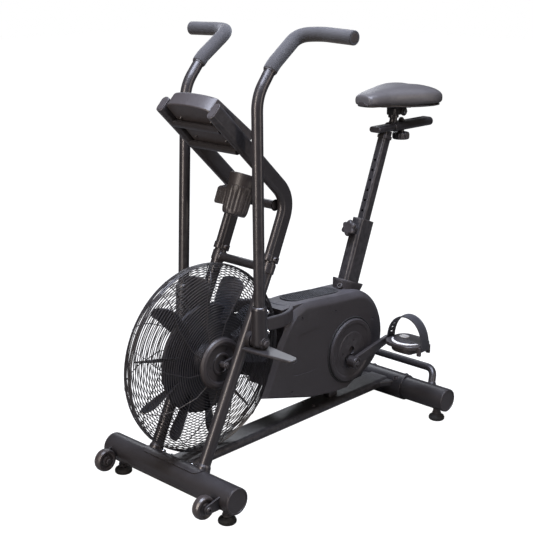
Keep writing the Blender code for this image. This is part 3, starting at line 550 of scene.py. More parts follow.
def crank_coat():
    return surface("Crank paint", tuple(colours().trim), 0.40, 0.3, 600, 140, 0.8, 0.15,
                   wear=sizes().wear * 1.5, coat=0.15)


def cover_plastic():
    # The cover's larger up-facing mix is partly dust and partly painted top light on its deck and shoulder.
    return surface("Grained cover plastic", tuple(colours().cover), 0.50, 0.0, 1100, 40, 0.2,
                   sizes().grain, 0.0003, wear=0.2, dust_and_top_light=0.24, specular=0.45)


def trim_plastic():
    return surface("Satin trim plastic", tuple(colours().trim), 0.42, 0.0, 1400, 60, 0.3,
                   sizes().grain * 0.6, 0.0003, wear=0.2, dust_and_top_light=0.08)


def wire_coat():
    return surface("Guard wire coat", tuple(colours().wire), 0.33, 0.2, 900, 120, 0.6, 0.1,
                   wear=0.0, dust_and_top_light=0.05, coat=0.3)


def blade_paint():
    return surface("Paddle paint", tuple(colours().blade), 0.48, 0.2, 500, 60, 0.8, 0.2, wear=0.15, dust_and_top_light=0.08)


def bolt_steel():
    return surface("Zinc-plated steel", (0.56, 0.56, 0.55), 0.24, 1.0, 300, 500, 0.3, 0.08,
                   mottle=0.1, wear=0.1, worn=(0.8, 0.8, 0.78), dust_and_top_light=0.03)


def foam_skin():
    return surface("Closed-cell foam", tuple(colours().foam), 0.74, 0.0, 1500, 400, 0.8, 0.5, 0.0006,
                   mottle=0.2, wear=0.0, dust_and_top_light=0.12, specular=0.3, sheen=0.25)


def saddle_vinyl():
    return surface("Grained vinyl", tuple(colours().vinyl), 0.46, 0.0, 620, 150, 0.6, 0.4, 0.0005,
                   mottle=0.1, wear=0.1, worn=(0.24, 0.23, 0.23), dust_and_top_light=0.06, coat=0.08)


def black_rubber():
    return surface("Moulded rubber", tuple(colours().rubber), 0.72, 0.0, 1300, 200, 0.5, 0.3, 0.0004,
                   mottle=0.3, wear=0.3, worn=(0.07, 0.07, 0.07), dust_and_top_light=0.12, specular=0.35)


def strap_rubber():
    return surface("Strap rubber", (0.020, 0.020, 0.024), 0.52, 0.0, 1000, 90, 0.5, 0.25, 0.0004,
                   mottle=0.2, wear=0.3, worn=(0.08, 0.08, 0.08), dust_and_top_light=0.10)


def pale_plastic():
    return surface("Pale insert plastic", tuple(colours().pale), 0.40, 0.0, 1200, 100, 0.3, 0.12,
                   mottle=0.04, wear=0.1, worn=(0.4, 0.4, 0.4), dust_and_top_light=0.05, dust_and_top_light_colour=(0.45, 0.44, 0.42))


def wheel_plastic():
    return surface("Hard wheel plastic", (0.034, 0.028, 0.027), 0.34, 0.0, 900, 60, 0.4, 0.08,
                   mottle=0.15, wear=0.35, worn=(0.14, 0.13, 0.12), dust_and_top_light=0.05, coat=0.2)


def screen_glass():
    return surface("Display window", (0.014, 0.017, 0.018), 0.14, 0.0, 200, 20, 0.1, 0.01,
                   mottle=0.1, wear=0.0, dust_and_top_light=0.03, coat=0.6)


def display_ink():
    return surface("Display segments", (0.16, 0.19, 0.16), 0.35, 0.0, 600, 40, 0.2, 0.03,
                   mottle=0.05, wear=0.0, dust_and_top_light=0.02)


FINISHES = {"powder": powder_coat, "handle": handle_coat, "crank": crank_coat, "cover": cover_plastic,
            "trim": trim_plastic, "wire": wire_coat, "blade": blade_paint, "steel": bolt_steel,
            "foam": foam_skin, "vinyl": saddle_vinyl, "rubber": black_rubber, "strap": strap_rubber,
            "pale": pale_plastic, "wheel": wheel_plastic, "glass": screen_glass, "ink": display_ink}


# ---- frame ----------------------------------------------------------------------------
def seat_axis_point(distance, out=0.0, across=0.0):
    """Point on the seat tube's axis, distance above its rim, moved out through the front face."""
    up = Vector((math.sin(SEAT_LEAN), 0, math.cos(SEAT_LEAN)))
    front = Vector((-math.cos(SEAT_LEAN), 0, math.sin(SEAT_LEAN)))
    return Vector((SEAT_TOP[0], across, SEAT_TOP[1])) + up * distance + front * out


SEAT_FRONT = Vector((-math.cos(SEAT_LEAN), 0, math.sin(SEAT_LEAN)))


def fork_point(share, side, out=0.0):
    """Point on a fork tube, share 0 at its foot and 1 at its top."""
    foot, top = Vector((FORK_FOOT[0], 0, FORK_FOOT[1])), Vector((FORK_TOP[0], 0, FORK_TOP[1]))
    return foot.lerp(top, share) + Y_AXIS * side * (FORK_Y + out)


class AIRBIKE_OT_stabilisers(bpy.types.Operator):
    """Front and rear cross tubes with their end caps."""
    bl_idname = "airbike.stabilisers"
    bl_label = "Stabilisers"

    def execute(self, context):
        inside = STAB_HALF - 0.0035
        for name, where in (("front_stabiliser", FRONT), ("rear_stabiliser", REAR)):
            bm = bmesh.new()
            profile = ((STAB_R - 0.004, -inside + 0.02), (STAB_R - 0.004, -inside), (STAB_R, -inside),
                       (STAB_R, inside), (STAB_R - 0.004, inside), (STAB_R - 0.004, inside - 0.02))
            turned(bm, profile, where, Y_AXIS, 128, 0.001, closed=True)
            piece(name + "_tube", bm, "powder", "frame", (name,))
            for side_name, side in SIDES:
                bm = bmesh.new()
                rim = STAB_R - 0.0006
                cap = ((0, inside + 0.0014), (rim - 0.0055, inside + 0.0014), (rim - 0.0046, inside + 0.0032),
                       (rim, inside + 0.0032), (rim, inside + 0.0002), (STAB_R - 0.0042, inside - 0.015),
                       (0, inside - 0.015))
                turned(bm, cap, where, Y_AXIS * side, 96, 0.0007)
                piece("%s_cap_%s" % (name, side_name), bm, "trim", "frame")
        return {"FINISHED"}


class AIRBIKE_OT_front_saddle_plate(bpy.types.Operator):
    """Bent plate on the front cross tube, with the bolts that hold the fork and rail to it."""
    bl_idname = "airbike.front_saddle_plate"
    bl_label = "Front saddle plate"

    def execute(self, context):
        bm = bmesh.new()
        half, corner, low, high = 0.120, 0.016, STAB_R + 0.0001, STAB_R + 0.0034
        first, last = math.radians(-68), math.radians(26)
        reach = (last - first) * STAB_R / 2
        rings = []
        for i in range(41):
            t = -1 + 2 * i / 40
            inset = max(0.0, abs(t) * reach - (reach - corner))
            y = half - corner + math.sqrt(max(corner ** 2 - inset ** 2, 0.000001))
            angle = (first + last) / 2 + t * (last - first) / 2
            way = Vector((-math.sin(angle), 0, math.cos(angle)))
            edge = 0.0006
            rings.append([FRONT + way * r + Y_AXIS * w for r, w in
                          ((low, -y), (high - edge, -y), (high, -y + edge), (high, y - edge),
                           (high - edge, y), (low, y))])
        loft(bm, rings)
        piece("front_saddle_plate", bm, "powder", "frame")
        bm = bmesh.new()
        for degrees, y in ((-46, -0.072), (-58, -0.044), (-46, 0.072), (-58, 0.044)):
            angle = math.radians(degrees)
            way = Vector((-math.sin(angle), 0, math.cos(angle)))
            seat = Vector((FRONT.x, y, FRONT.z)) + way * (high - 0.0008)
            turned(bm, ((0, 0), (0.0098, 0), (0.0098, 0.0018), (0, 0.0018)), seat, way, 32, 0.0004)
            button_bolt(bm, seat + way * 0.0016, way, 0.0068, 0.0062)
        piece("front_plate_bolts", bm, "steel", "frame")
        return {"FINISHED"}


class AIRBIKE_OT_main_rail(bpy.types.Operator):
    """Flat-oval rail, its sleeve on the rear cross tube, gusset and crank post."""
    bl_idname = "airbike.main_rail"
    bl_label = "Main rail"

    def execute(self, context):
        bm = bmesh.new()
        rail_z, width, height = 0.0935, 0.084, 0.030
        sweep(bm, [(FRONT.x + 0.028, 0, rail_z), (REAR.x - 0.030, 0, rail_z)],
              rounded_box(width, height, height / 2 - 0.001, 12), Y_AXIS)
        slab(bm, rounded_box(0.040, 0.030, 0.005), rail_z, CRANK.z - 0.02,
             lambda a, b, z: Vector((CRANK.x + a, b, z)))
        rod(bm, 0.0215, (CRANK.x, -0.034, CRANK.z), (CRANK.x, 0.034, CRANK.z), 64)
        piece("main_rail_tube", bm, "powder", "frame", ("main_rail",))
        bm = bmesh.new()
        outer, half = STAB_R + 0.0045, 0.098
        turned(bm, ((STAB_R - 0.001, -half), (outer, -half), (outer, half), (STAB_R - 0.001, half)),
               REAR, Y_AXIS, 128, 0.0016, closed=True)
        plan = [(0.700, -0.040), (0.775, -0.043), (0.838, -0.078), (0.838, 0.078), (0.775, 0.043),
                (0.700, 0.040)]
        slab(bm, [(p.x, p.y) for p in fillet([Vector(p) for p in plan], 0.03, 6)], 0.0845, 0.1035,
             level, 0.004)
        piece("rear_sleeve", bm, "powder", "frame")
        bm = bmesh.new()
        for y in (-0.070, 0.070):
            for lean in (-38, 52):
                angle = math.radians(lean)
                way = Vector((math.sin(angle), 0, math.cos(angle)))
                seat = Vector((REAR.x, y, REAR.z)) + way * (outer - 0.0006)
                turned(bm, ((0, 0), (0.0105, 0), (0.0105, 0.0018), (0, 0.0018)), seat, way, 32, 0.0004)
                button_bolt(bm, seat + way * 0.0016, way, 0.0072, 0.0060)
        for y in (-0.022, 0.022):
            button_bolt(bm, (0.455, y, rail_z + height / 2 - 0.0004), Z_AXIS, 0.0065, 0.005)
        piece("rail_bolts", bm, "trim", "frame")
        return {"FINISHED"}


class AIRBIKE_OT_lift_handle(bpy.types.Operator):
    """Bent tube behind the rear cross tube for lifting the bike onto its wheels."""
    bl_idname = "airbike.lift_handle"
    bl_label = "Lift handle"

    def execute(self, context):
        bm = bmesh.new()
        x, z, reach = REAR.x + 0.052, 0.150, 0.168
        foot = (REAR.x + 0.020, reach + 0.016, REAR.z + 0.018)
        path = fillet([(foot[0], -foot[1], foot[2]), (x, -reach, z), (x, reach, z), foot], 0.036, 16)
        sweep(bm, path, circle(0.0125, 40), X_AXIS)
        for y in (-1, 1):
            away = (Vector((x, 0, z)) - Vector((foot[0], y * 0.016, foot[2]))).normalized()
            base = Vector((REAR.x + 0.0265, y * (reach + 0.0135), REAR.z + 0.0275))
            turned(bm, ((0.0120, -0.004), (0.0168, -0.003), (0.0142, 0.0035), (0.0124, 0.0075)), base, away,
                   40, 0.002, closed=True)
        piece("lift_handle_tube", bm, "powder", "frame", ("lift_handle",))
        return {"FINISHED"}


class AIRBIKE_OT_fork(bpy.types.Operator):
    """Two legs from the front cross tube to the masts, with fan brackets, collars and brace."""
    bl_idname = "airbike.fork"
    bl_label = "Fork"

    def execute(self, context):
        for side_name, side in SIDES:
            bm = bmesh.new()
            rod(bm, FORK_R, fork_point(0.0, side), fork_point(1.0, side), 64)
            away = (fork_point(1, side) - fork_point(0, side)).normalized()
            base = fork_point(0.0, side) + away * 0.036
            turned(bm, ((FORK_R - 0.0004, -0.020), (FORK_R + 0.0056, -0.020), (FORK_R + 0.0028, 0.002),
                        (FORK_R - 0.0004, 0.009)), base, away, 64, 0.003, closed=True)
            piece("fork_leg_" + side_name, bm, "powder", "frame", ("fork_tube_" + side_name,))
            bm = bmesh.new()
            share = (FAN_Z - FORK_FOOT[1]) / (FORK_TOP[1] - FORK_FOOT[1])
            leg = fork_point(share, side)
            slab(bm, link_outline((0, FAN_Z), (leg.x, FAN_Z), 0.0105, 0.016), 0.0810, 0.0890,
                 upright(side), 0.0008)
            piece("fan_bracket_" + side_name, bm, "powder", "frame")
            bm = bmesh.new()
            collar = fork_point(0.972, side)
            turned(bm, ((FORK_R, -0.016), (FORK_R + 0.0028, -0.016), (FORK_R + 0.0028, 0.013),
                        (FORK_R, 0.013)),
                   collar, away, 64, 0.001, closed=True)
            piece("fork_collar_" + side_name, bm, "powder", "frame")
        inner = FORK_Y - FORK_R + 0.002
        for name, x, z, node in (("fork_brace_bar", 0.1596, 0.645, "fork_brace"),
                                 ("mast_cross_bar", 0.204, 0.822, "mast_cross_tube")):
            bm = bmesh.new()
            reach = inner if node == "fork_brace" else FORK_Y - 0.0125
            rod(bm, 0.013, (x, -reach, z), (x, reach, z), 48)
            for side in (-1, 1):
                turned(bm, ((0.0125, -0.0050), (0.0155, -0.0030), (0.0172, 0.0)),
                       Vector((x, side * reach, z)), Y_AXIS * side, 48, 0.002, closed=True)
            piece(name, bm, "powder", "frame", (node,))
        return {"FINISHED"}


class AIRBIKE_OT_masts(bpy.types.Operator):
    """Flat-oval uprights that bend forward to the console, with end caps and joint bolts."""
    bl_idname = "airbike.masts"
    bl_label = "Masts"

    def execute(self, context):
        for side_name, side in SIDES:
            top = Vector((FORK_TOP[0], side * FORK_Y, FORK_TOP[1]))
            along = (top - Vector((FORK_FOOT[0], side * FORK_Y, FORK_FOOT[1]))).normalized()
            path = fillet([top + along * 0.0005, top + along * 0.02, (0.247, side * FORK_Y, 0.838),
                           (-0.044, side * FORK_Y, 1.116)], 0.085, 24)
            bm = bmesh.new()
            sweep(bm, path, rounded_box(0.027, 0.050, 0.0132, 14), Y_AXIS)
            piece("mast_tube_" + side_name, bm, "powder", "frame", ("mast_" + side_name,))
            way = (path[-1] - path[-2]).normalized()
            bm = bmesh.new()
            sweep(bm, [path[-1] - way * 0.001, path[-1] + way * 0.0022],
                  rounded_box(0.0268, 0.0498, 0.0131, 14),
                  Y_AXIS, ends=0.0014)
            sweep(bm, [path[-1] + way * 0.001, path[-1] + way * 0.0040],
                  rounded_box(0.0195, 0.0425, 0.0095, 14),
                  Y_AXIS, ends=0.0008)
            piece("mast_cap_" + side_name, bm, "trim", "frame")
            bm = bmesh.new()
            sweep(bm, [top + along * 0.0008, top + along * 0.017], rounded_box(0.0315, 0.0545, 0.0152, 14),
                  Y_AXIS, ends=0.0012)
            piece("mast_collar_" + side_name, bm, "powder", "frame")
            bm = bmesh.new()
            face = top + along * 0.009
            button_bolt(bm, face + Y_AXIS * side * 0.0157, Y_AXIS * side, 0.0082, 0.0062)
            button_bolt(bm, face - Y_AXIS * side * 0.0157, Y_AXIS * -side, 0.0082, 0.0062)
            piece("mast_bolts_" + side_name, bm, "trim", "frame")
        return {"FINISHED"}


class AIRBIKE_OT_seat_tube(bpy.types.Operator):
    """Seat tube with its plastic bush and the threaded boss of the pull pin."""
    bl_idname = "airbike.seat_tube"
    bl_label = "Seat tube"

    def execute(self, context):
        bm, bore = bmesh.new(), bmesh.new()
        sweep(bm, [seat_axis_point(-0.424), seat_axis_point(-0.001)],
              rounded_box(0.042, 0.072, 0.012, 12), Y_AXIS)
        sweep(bore, [seat_axis_point(-0.412), seat_axis_point(0.02)],
              rounded_box(0.0350, 0.0430, 0.0100, 12), Y_AXIS)
        piece("seat_tube_body", bm, "powder", "frame", ("seat_tube",), bore)
        bm = bmesh.new()
        outer, inner = rounded_box(0.0425, 0.0725, 0.0122, 12), rounded_box(0.0310, 0.0390, 0.0084, 12)
        rise = ((-0.0015, 0.0), (0.0032, 0.0), (0.0046, 0.0016), (0.0046, 0.0040))
        rings = []
        for height, inset in rise:
            ring = sweep_rings([seat_axis_point(height), seat_axis_point(height + 0.001)], outer, Y_AXIS)[0]
            rings.append(shrunk(ring, inset, Vector()))
        for height in (0.0046, -0.0015):
            rings.append(sweep_rings([seat_axis_point(height), seat_axis_point(height + 0.001)], inner,
                                     Y_AXIS)[0])
        loft(bm, rings, closed=True)
        piece("seat_tube_bush", bm, "trim", "frame")
        bm = bmesh.new()
        turned(bm, ((0.0052, 0.0300), (0.0150, 0.0320), (0.0135, 0.0400), (0.0135, 0.0455), (0.0052, 0.0455)),
               seat_axis_point(-0.036), SEAT_FRONT, 48, 0.0010, closed=True)
        piece("pin_boss", bm, "powder", "frame")
        return {"FINISHED"}


class AIRBIKE_OT_feet(bpy.types.Operator):
    """Levelling feet: rubber pads with nuts on threaded studs."""
    bl_idname = "airbike.feet"
    bl_label = "Levelling feet"

    def execute(self, context):
        for end, where in (("front", FRONT), ("rear", REAR)):
            for side_name, side in SIDES:
                name = "foot_%s_%s" % (end, side_name)
                base = Vector((where.x, side * FOOT_Y, 0))
                bm = bmesh.new()
                turned(bm, ((0, 0), (0.0235, 0), (0.0258, 0.0025), (0.0258, 0.0100), (0.0240, 0.0135),
                            (0.0165, 0.0190), (0.0100, 0.0205), (0, 0.0205)), base, Z_AXIS, 64, 0.0012)
                for k in range(24):
                    angle = 2 * math.pi * k / 24
                    way = Vector((math.cos(angle), math.sin(angle), 0))
                    rod(bm, 0.0008, base + way * 0.0256 + Z_AXIS * 0.0030,
                        base + way * 0.0256 + Z_AXIS * 0.0098,
                        8, 0)
                piece(name + "_pad", bm, "rubber", name, (name,))
                bm = bmesh.new()
                hex_nut(bm, base + Z_AXIS * 0.0202, Z_AXIS, 0.0150, 0.0075)
                rod(bm, 0.0125, base + Z_AXIS * 0.027, base + Z_AXIS * 0.040, 32, 0.001)
                threads = []
                for k in range(10):
                    threads += [(0.0052, 0.0255 + k * 0.0012), (0.0045, 0.0261 + k * 0.0012)]
                turned(bm, [(0, 0.0255)] + threads + [(0.0050, 0.0380), (0.0050, 0.055), (0, 0.055)],
                       base, Z_AXIS, 28)
                piece(name + "_stud", bm, "trim", name)
        return {"FINISHED"}


class AIRBIKE_OT_transport_wheels(bpy.types.Operator):
    """Brackets and solid wheels at the front corners."""
    bl_idname = "airbike.transport_wheels"
    bl_label = "Transport wheels"

    def execute(self, context):
        for side_name, side in SIDES:
            hub = Vector((WHEEL_X, side * WHEEL_Y, WHEEL_Z))
            bm = bmesh.new()
            outline = link_outline((FRONT.x - 0.016, FRONT.z - 0.001), (WHEEL_X, WHEEL_Z), 0.021, 0.0135)
            slab(bm, outline, WHEEL_Y + 0.0165, WHEEL_Y + 0.0225, upright(side), 0.0008)
            turned(bm, ((0, 0.0150), (0.0085, 0.0150), (0.0085, 0.0170), (0, 0.0170)), hub,
                   Y_AXIS * side, 32, 0.0004)
            piece("wheel_fork_" + side_name, bm, "powder", "frame", ("wheel_bracket_" + side_name,))
            bm = bmesh.new()
            rod(bm, 0.0040, hub - Y_AXIS * side * 0.015, hub + Y_AXIS * side * 0.017, 24, 0.0005)
            button_bolt(bm, hub + Y_AXIS * side * 0.0224, Y_AXIS * side, 0.0085, 0.0045)
            hex_nut(bm, hub - Y_AXIS * side * 0.0145, -Y_AXIS * side, 0.0078, 0.0050)
            piece("wheel_bolt_" + side_name, bm, "trim", "frame")
            bm = bmesh.new()
            profile = ((0.0044, -0.0118), (0.0130, -0.0118), (0.0145, -0.0095), (0.0215, -0.0095),
                       (0.0255, -0.0130), (0.0310, -0.0125), (0.0338, -0.0050), (0.0340, 0),
                       (0.0338, 0.0050), (0.0310, 0.0125), (0.0255, 0.0130), (0.0215, 0.0095),
                       (0.0145, 0.0095), (0.0130, 0.0118), (0.0044, 0.0118))
            turned(bm, profile, hub, Y_AXIS, 80, 0.0035, closed=True)
            name = "transport_wheel_" + side_name
            piece("roller_" + side_name, bm, "wheel", "wheel_" + side_name, (name,))
        return {"FINISHED"}


# ---- fan ------------------------------------------------------------------------------
GUARD_SECTION = fillet([Vector(p) for p in ((0.070, 0.0642), (0.120, 0.0642), (0.196, 0.0575),
                                            (0.222, 0.0548),
                                            (0.246, 0.0510), (0.269, 0.0345), (0.2768, 0.0140),
                                            (0.2778, 0.0030))], 0.030, 10)


def guard_stations(pitch):
    """Points (radius, depth) along the guard's side, one wire apart."""
    stations, left = [GUARD_SECTION[0]], pitch
    for before, after in zip(GUARD_SECTION, GUARD_SECTION[1:]):
        run = (after - before).length
        at = left
        while at <= run:
            stations.append(before.lerp(after, at / run))
            at += pitch
        left = at - run
    return stations


class AIRBIKE_OT_guard(bpy.types.Operator):
    """Fan guard: ring wires, slanted spokes and the clamped rim, one piece for each half."""
    bl_idname = "airbike.guard"
    bl_label = "Fan guard"

    def execute(self, context):
        wire = sizes().wire_radius
        for side_name, side in SIDES:
            bm = bmesh.new()
            for r, y in guard_stations(sizes().wire_pitch):
                ring = [Vector((r * math.cos(a), side * y, FAN_Z + r * math.sin(a)))
                        for a in (2 * math.pi * i / 112 for i in range(112))]
                sweep(bm, ring, circle(wire, 6), Y_AXIS, closed=True)
            ring = [Vector((0.2768 * math.cos(a), side * 0.0034, FAN_Z + 0.2768 * math.sin(a)))
                    for a in (2 * math.pi * i / 112 for i in range(112))]
            sweep(bm, ring, circle(0.0022, 10), Y_AXIS, closed=True)
            piece("guard_rings_" + side_name, bm, "wire", "frame", ("guard_" + side_name,))
            bm = bmesh.new()
            count = sizes().spokes
            for k in range(count):
                path = []
                for i, (r, y) in enumerate(GUARD_SECTION):
                    angle = 2 * math.pi * (k + 0.35) / count + side * 0.55 * (r - 0.07) / 0.21
                    path.append(Vector((r * math.cos(angle), side * (y + 0.0016),
                                        FAN_Z + r * math.sin(angle))))
                dense = []
                for before, after in zip(path, path[1:]):
                    steps = max(1, int((after - before).length / 0.012))
                    dense += [before.lerp(after, i / steps) for i in range(steps)]
                sweep(bm, dense + [path[-1]], circle(0.0014, 6), Y_AXIS)
            piece("guard_spokes_" + side_name, bm, "wire", "frame")
        bm = bmesh.new()
        for degrees in (38, 128, 218, 308):
            angle = math.radians(degrees)
            out = Vector((math.cos(angle), 0, math.sin(angle)))
            along = Vector((-math.sin(angle), 0, math.cos(angle)))
            middle_point = Vector((0, 0, FAN_Z)) + out * 0.2765
            slab(bm, rounded_box(0.022, 0.013, 0.003, 5), -0.0024, 0.0024,
                 lambda a, b, c: middle_point + along * a + Y_AXIS * b + out * c, 0.0006)
        piece("guard_clips", bm, "wire", "frame")
        return {"FINISHED"}


class AIRBIKE_OT_hub_cover(bpy.types.Operator):
    """Dished cover in the middle of the guard, on both sides, and the axle's nuts."""
    bl_idname = "airbike.hub_cover"
    bl_label = "Hub covers"

    def execute(self, context):
        y = GUARD_HALF + 0.0078
        for side_name, side in SIDES:
            bm, cutters = bmesh.new(), bmesh.new()
            small = side > 0
            edge = 0.066 if small else 0.0765
            low = y - 0.0005
            profile = [(0.0088, low - 0.002), (edge, low - 0.002), (edge, low + 0.005),
                       (edge - 0.004, low + 0.0105),
                       (edge - 0.011, low + 0.0138), (edge - 0.018, low + 0.0125),
                       (edge - 0.024, low + 0.0065),
                       (0.0330, low + 0.0065), (0.0315, low + 0.0100), (0.0260, low + 0.0105),
                       (0.0240, low + 0.0065),
                       (0.0088, low + 0.0065)]
            turned(bm, profile, (0, 0, FAN_Z), Y_AXIS * side, 112, 0.0022, closed=True)
            for degrees in (62, 182, 302):
                angle = math.radians(degrees)
                spot = Vector((0.0425 * math.cos(angle), side * (low + 0.0050),
                               FAN_Z + 0.0425 * math.sin(angle)))
                rod(cutters, 0.0026, spot, spot + Y_AXIS * side * 0.02, 20, 0)
            stands = () if small else ("hub_cover",)
            piece("hub_dish_" + side_name, bm, "trim", "frame", stands, cutters)
            bm = bmesh.new()
            rod(bm, 0.0080, (0, side * 0.030, FAN_Z), (0, side * 0.0905, FAN_Z), 40)
            hex_nut(bm, (0, side * 0.0888, FAN_Z), Y_AXIS * side, 0.0098, 0.0075)
            rod(bm, 0.0060, (0, side * 0.095, FAN_Z), (0, side * 0.0990, FAN_Z), 32)
            piece("axle_nut_" + side_name, bm, "trim", "frame", ("fan_axle",) if side < 0 else ())
        return {"FINISHED"}


class AIRBIKE_OT_fan_wheel(bpy.types.Operator):
    """Fan: deep hub, round back plate, and folded paddles with round ends and pressed ribs."""
    bl_idname = "airbike.fan_wheel"
    bl_label = "Fan wheel"

    def execute(self, context):
        centre = Vector((0, 0, FAN_Z))
        bm = bmesh.new()
        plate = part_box("fan_wheel")[1].y
        turned(bm, ((0.0085, -plate + 0.001), (0.030, -plate + 0.001), (0.046, -0.006), (0.120, -0.004),
                    (0.158, -0.0075), (0.163, -0.0035), (0.163, 0.0020), (0.120, 0.0030), (0.046, 0.006),
                    (0.030, plate - 0.001), (0.0085, plate - 0.001)), centre, Y_AXIS, 112, 0.004, closed=True)
        for k in range(12):
            angle = 2 * math.pi * k / 12
            spot = centre + Vector((0.140 * math.cos(angle), -0.0052, 0.140 * math.sin(angle)))
            button_bolt(bm, spot, -Y_AXIS, 0.0050, 0.0028)
        piece("fan_plate", bm, "blade", "fan", ("fan_wheel",))
        bm = bmesh.new()
        root, tip, count = 0.112, 0.2515, sizes().blades
        tilt = Matrix.Rotation(math.radians(-66), 3, "X")
        stations = 22
        for k in range(count):
            turn = Matrix.Rotation(2 * math.pi * (k + 0.35) / count, 3, "Y")
            rings = []
            for i in range(stations + 1):
                t = i / stations
                r = root + (tip - root) * (1 - (1 - t) ** 1.5)
                share = (r - root) / (tip - root)
                half = 0.021 + 0.0165 * math.sin(min(1.0, share * 1.35) * math.pi / 2)
                end = max(0.0, (share - 0.80) / 0.20)
                half = max(0.0008, half * math.sqrt(max(0.0, 1 - end ** 2.6)))
                twist = Matrix.Rotation(math.radians(10) * (0.5 - share), 3, "X")
                ring = []
                for c in (-1, -0.72, -0.4, -0.12, 0, 0.12, 0.4, 0.72, 1):
                    rib = 0.0016 * math.exp(-(c / 0.13) ** 2) * math.sin(min(1, share * 1.1) * math.pi)
                    ring.append((c * half, -0.0035 * (1 - c * c) + rib - 0.0011))
                back = [(c, y + 0.0021) for c, y in ring[::-1]]
                rings.append([centre + turn @ (tilt @ (twist @ Vector((r, y, c)))) for c, y in ring + back])
            loft(bm, rings)
        piece("fan_paddles", bm, "blade", "fan")
        bm = bmesh.new()
        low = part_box("fan_pulley")[0].y
        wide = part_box("fan_pulley")[1].y
        turned(bm, ((0.0085, low), (0.014, low), (0.014, 0.0612), (0.022, 0.0612), (0.022, wide),
                    (0.0085, wide)),
               centre, Y_AXIS, 64, 0.0008, closed=True)
        piece("fan_belt_wheel", bm, "steel", "fan", ("fan_pulley",))
        return {"FINISHED"}


# ---- covers ---------------------------------------------------------------------------
DECK = ((0.310, 0.492), (0.42, 0.484), (0.52, 0.475), (0.605, 0.4705))


def deck_height(x):
    """Height of the cover's top at a distance from the fan axle."""
    for (x0, z0), (x1, z1) in zip(DECK, DECK[1:]):
        if x <= x1:
            return z0 + (z1 - z0) * (x - x0) / (x1 - x0)
    return DECK[-1][1]


def cover_outline(front, drop):
    """Side view of the belt cover: front edge, deck, round tail and sloping bottom."""
    tail_x, tail_z, tail_r = 0.600, 0.300, 0.152 - drop
    points = list(front)
    points += [(x, deck_height(x) - drop) for x in (0.365, 0.42, 0.47, 0.52, 0.56)]
    for i in range(33):
        angle = math.radians(88 - 164.0 * i / 32)
        rise = (tail_r + 0.018 * math.sin(angle)) * math.sin(angle)
        points.append((tail_x + tail_r * math.cos(angle), tail_z + rise))
    points += [(0.565, 0.147 + drop * 0.4), (0.505, 0.150 + drop * 0.4), (0.40, 0.164 + drop * 0.4)]
    return points


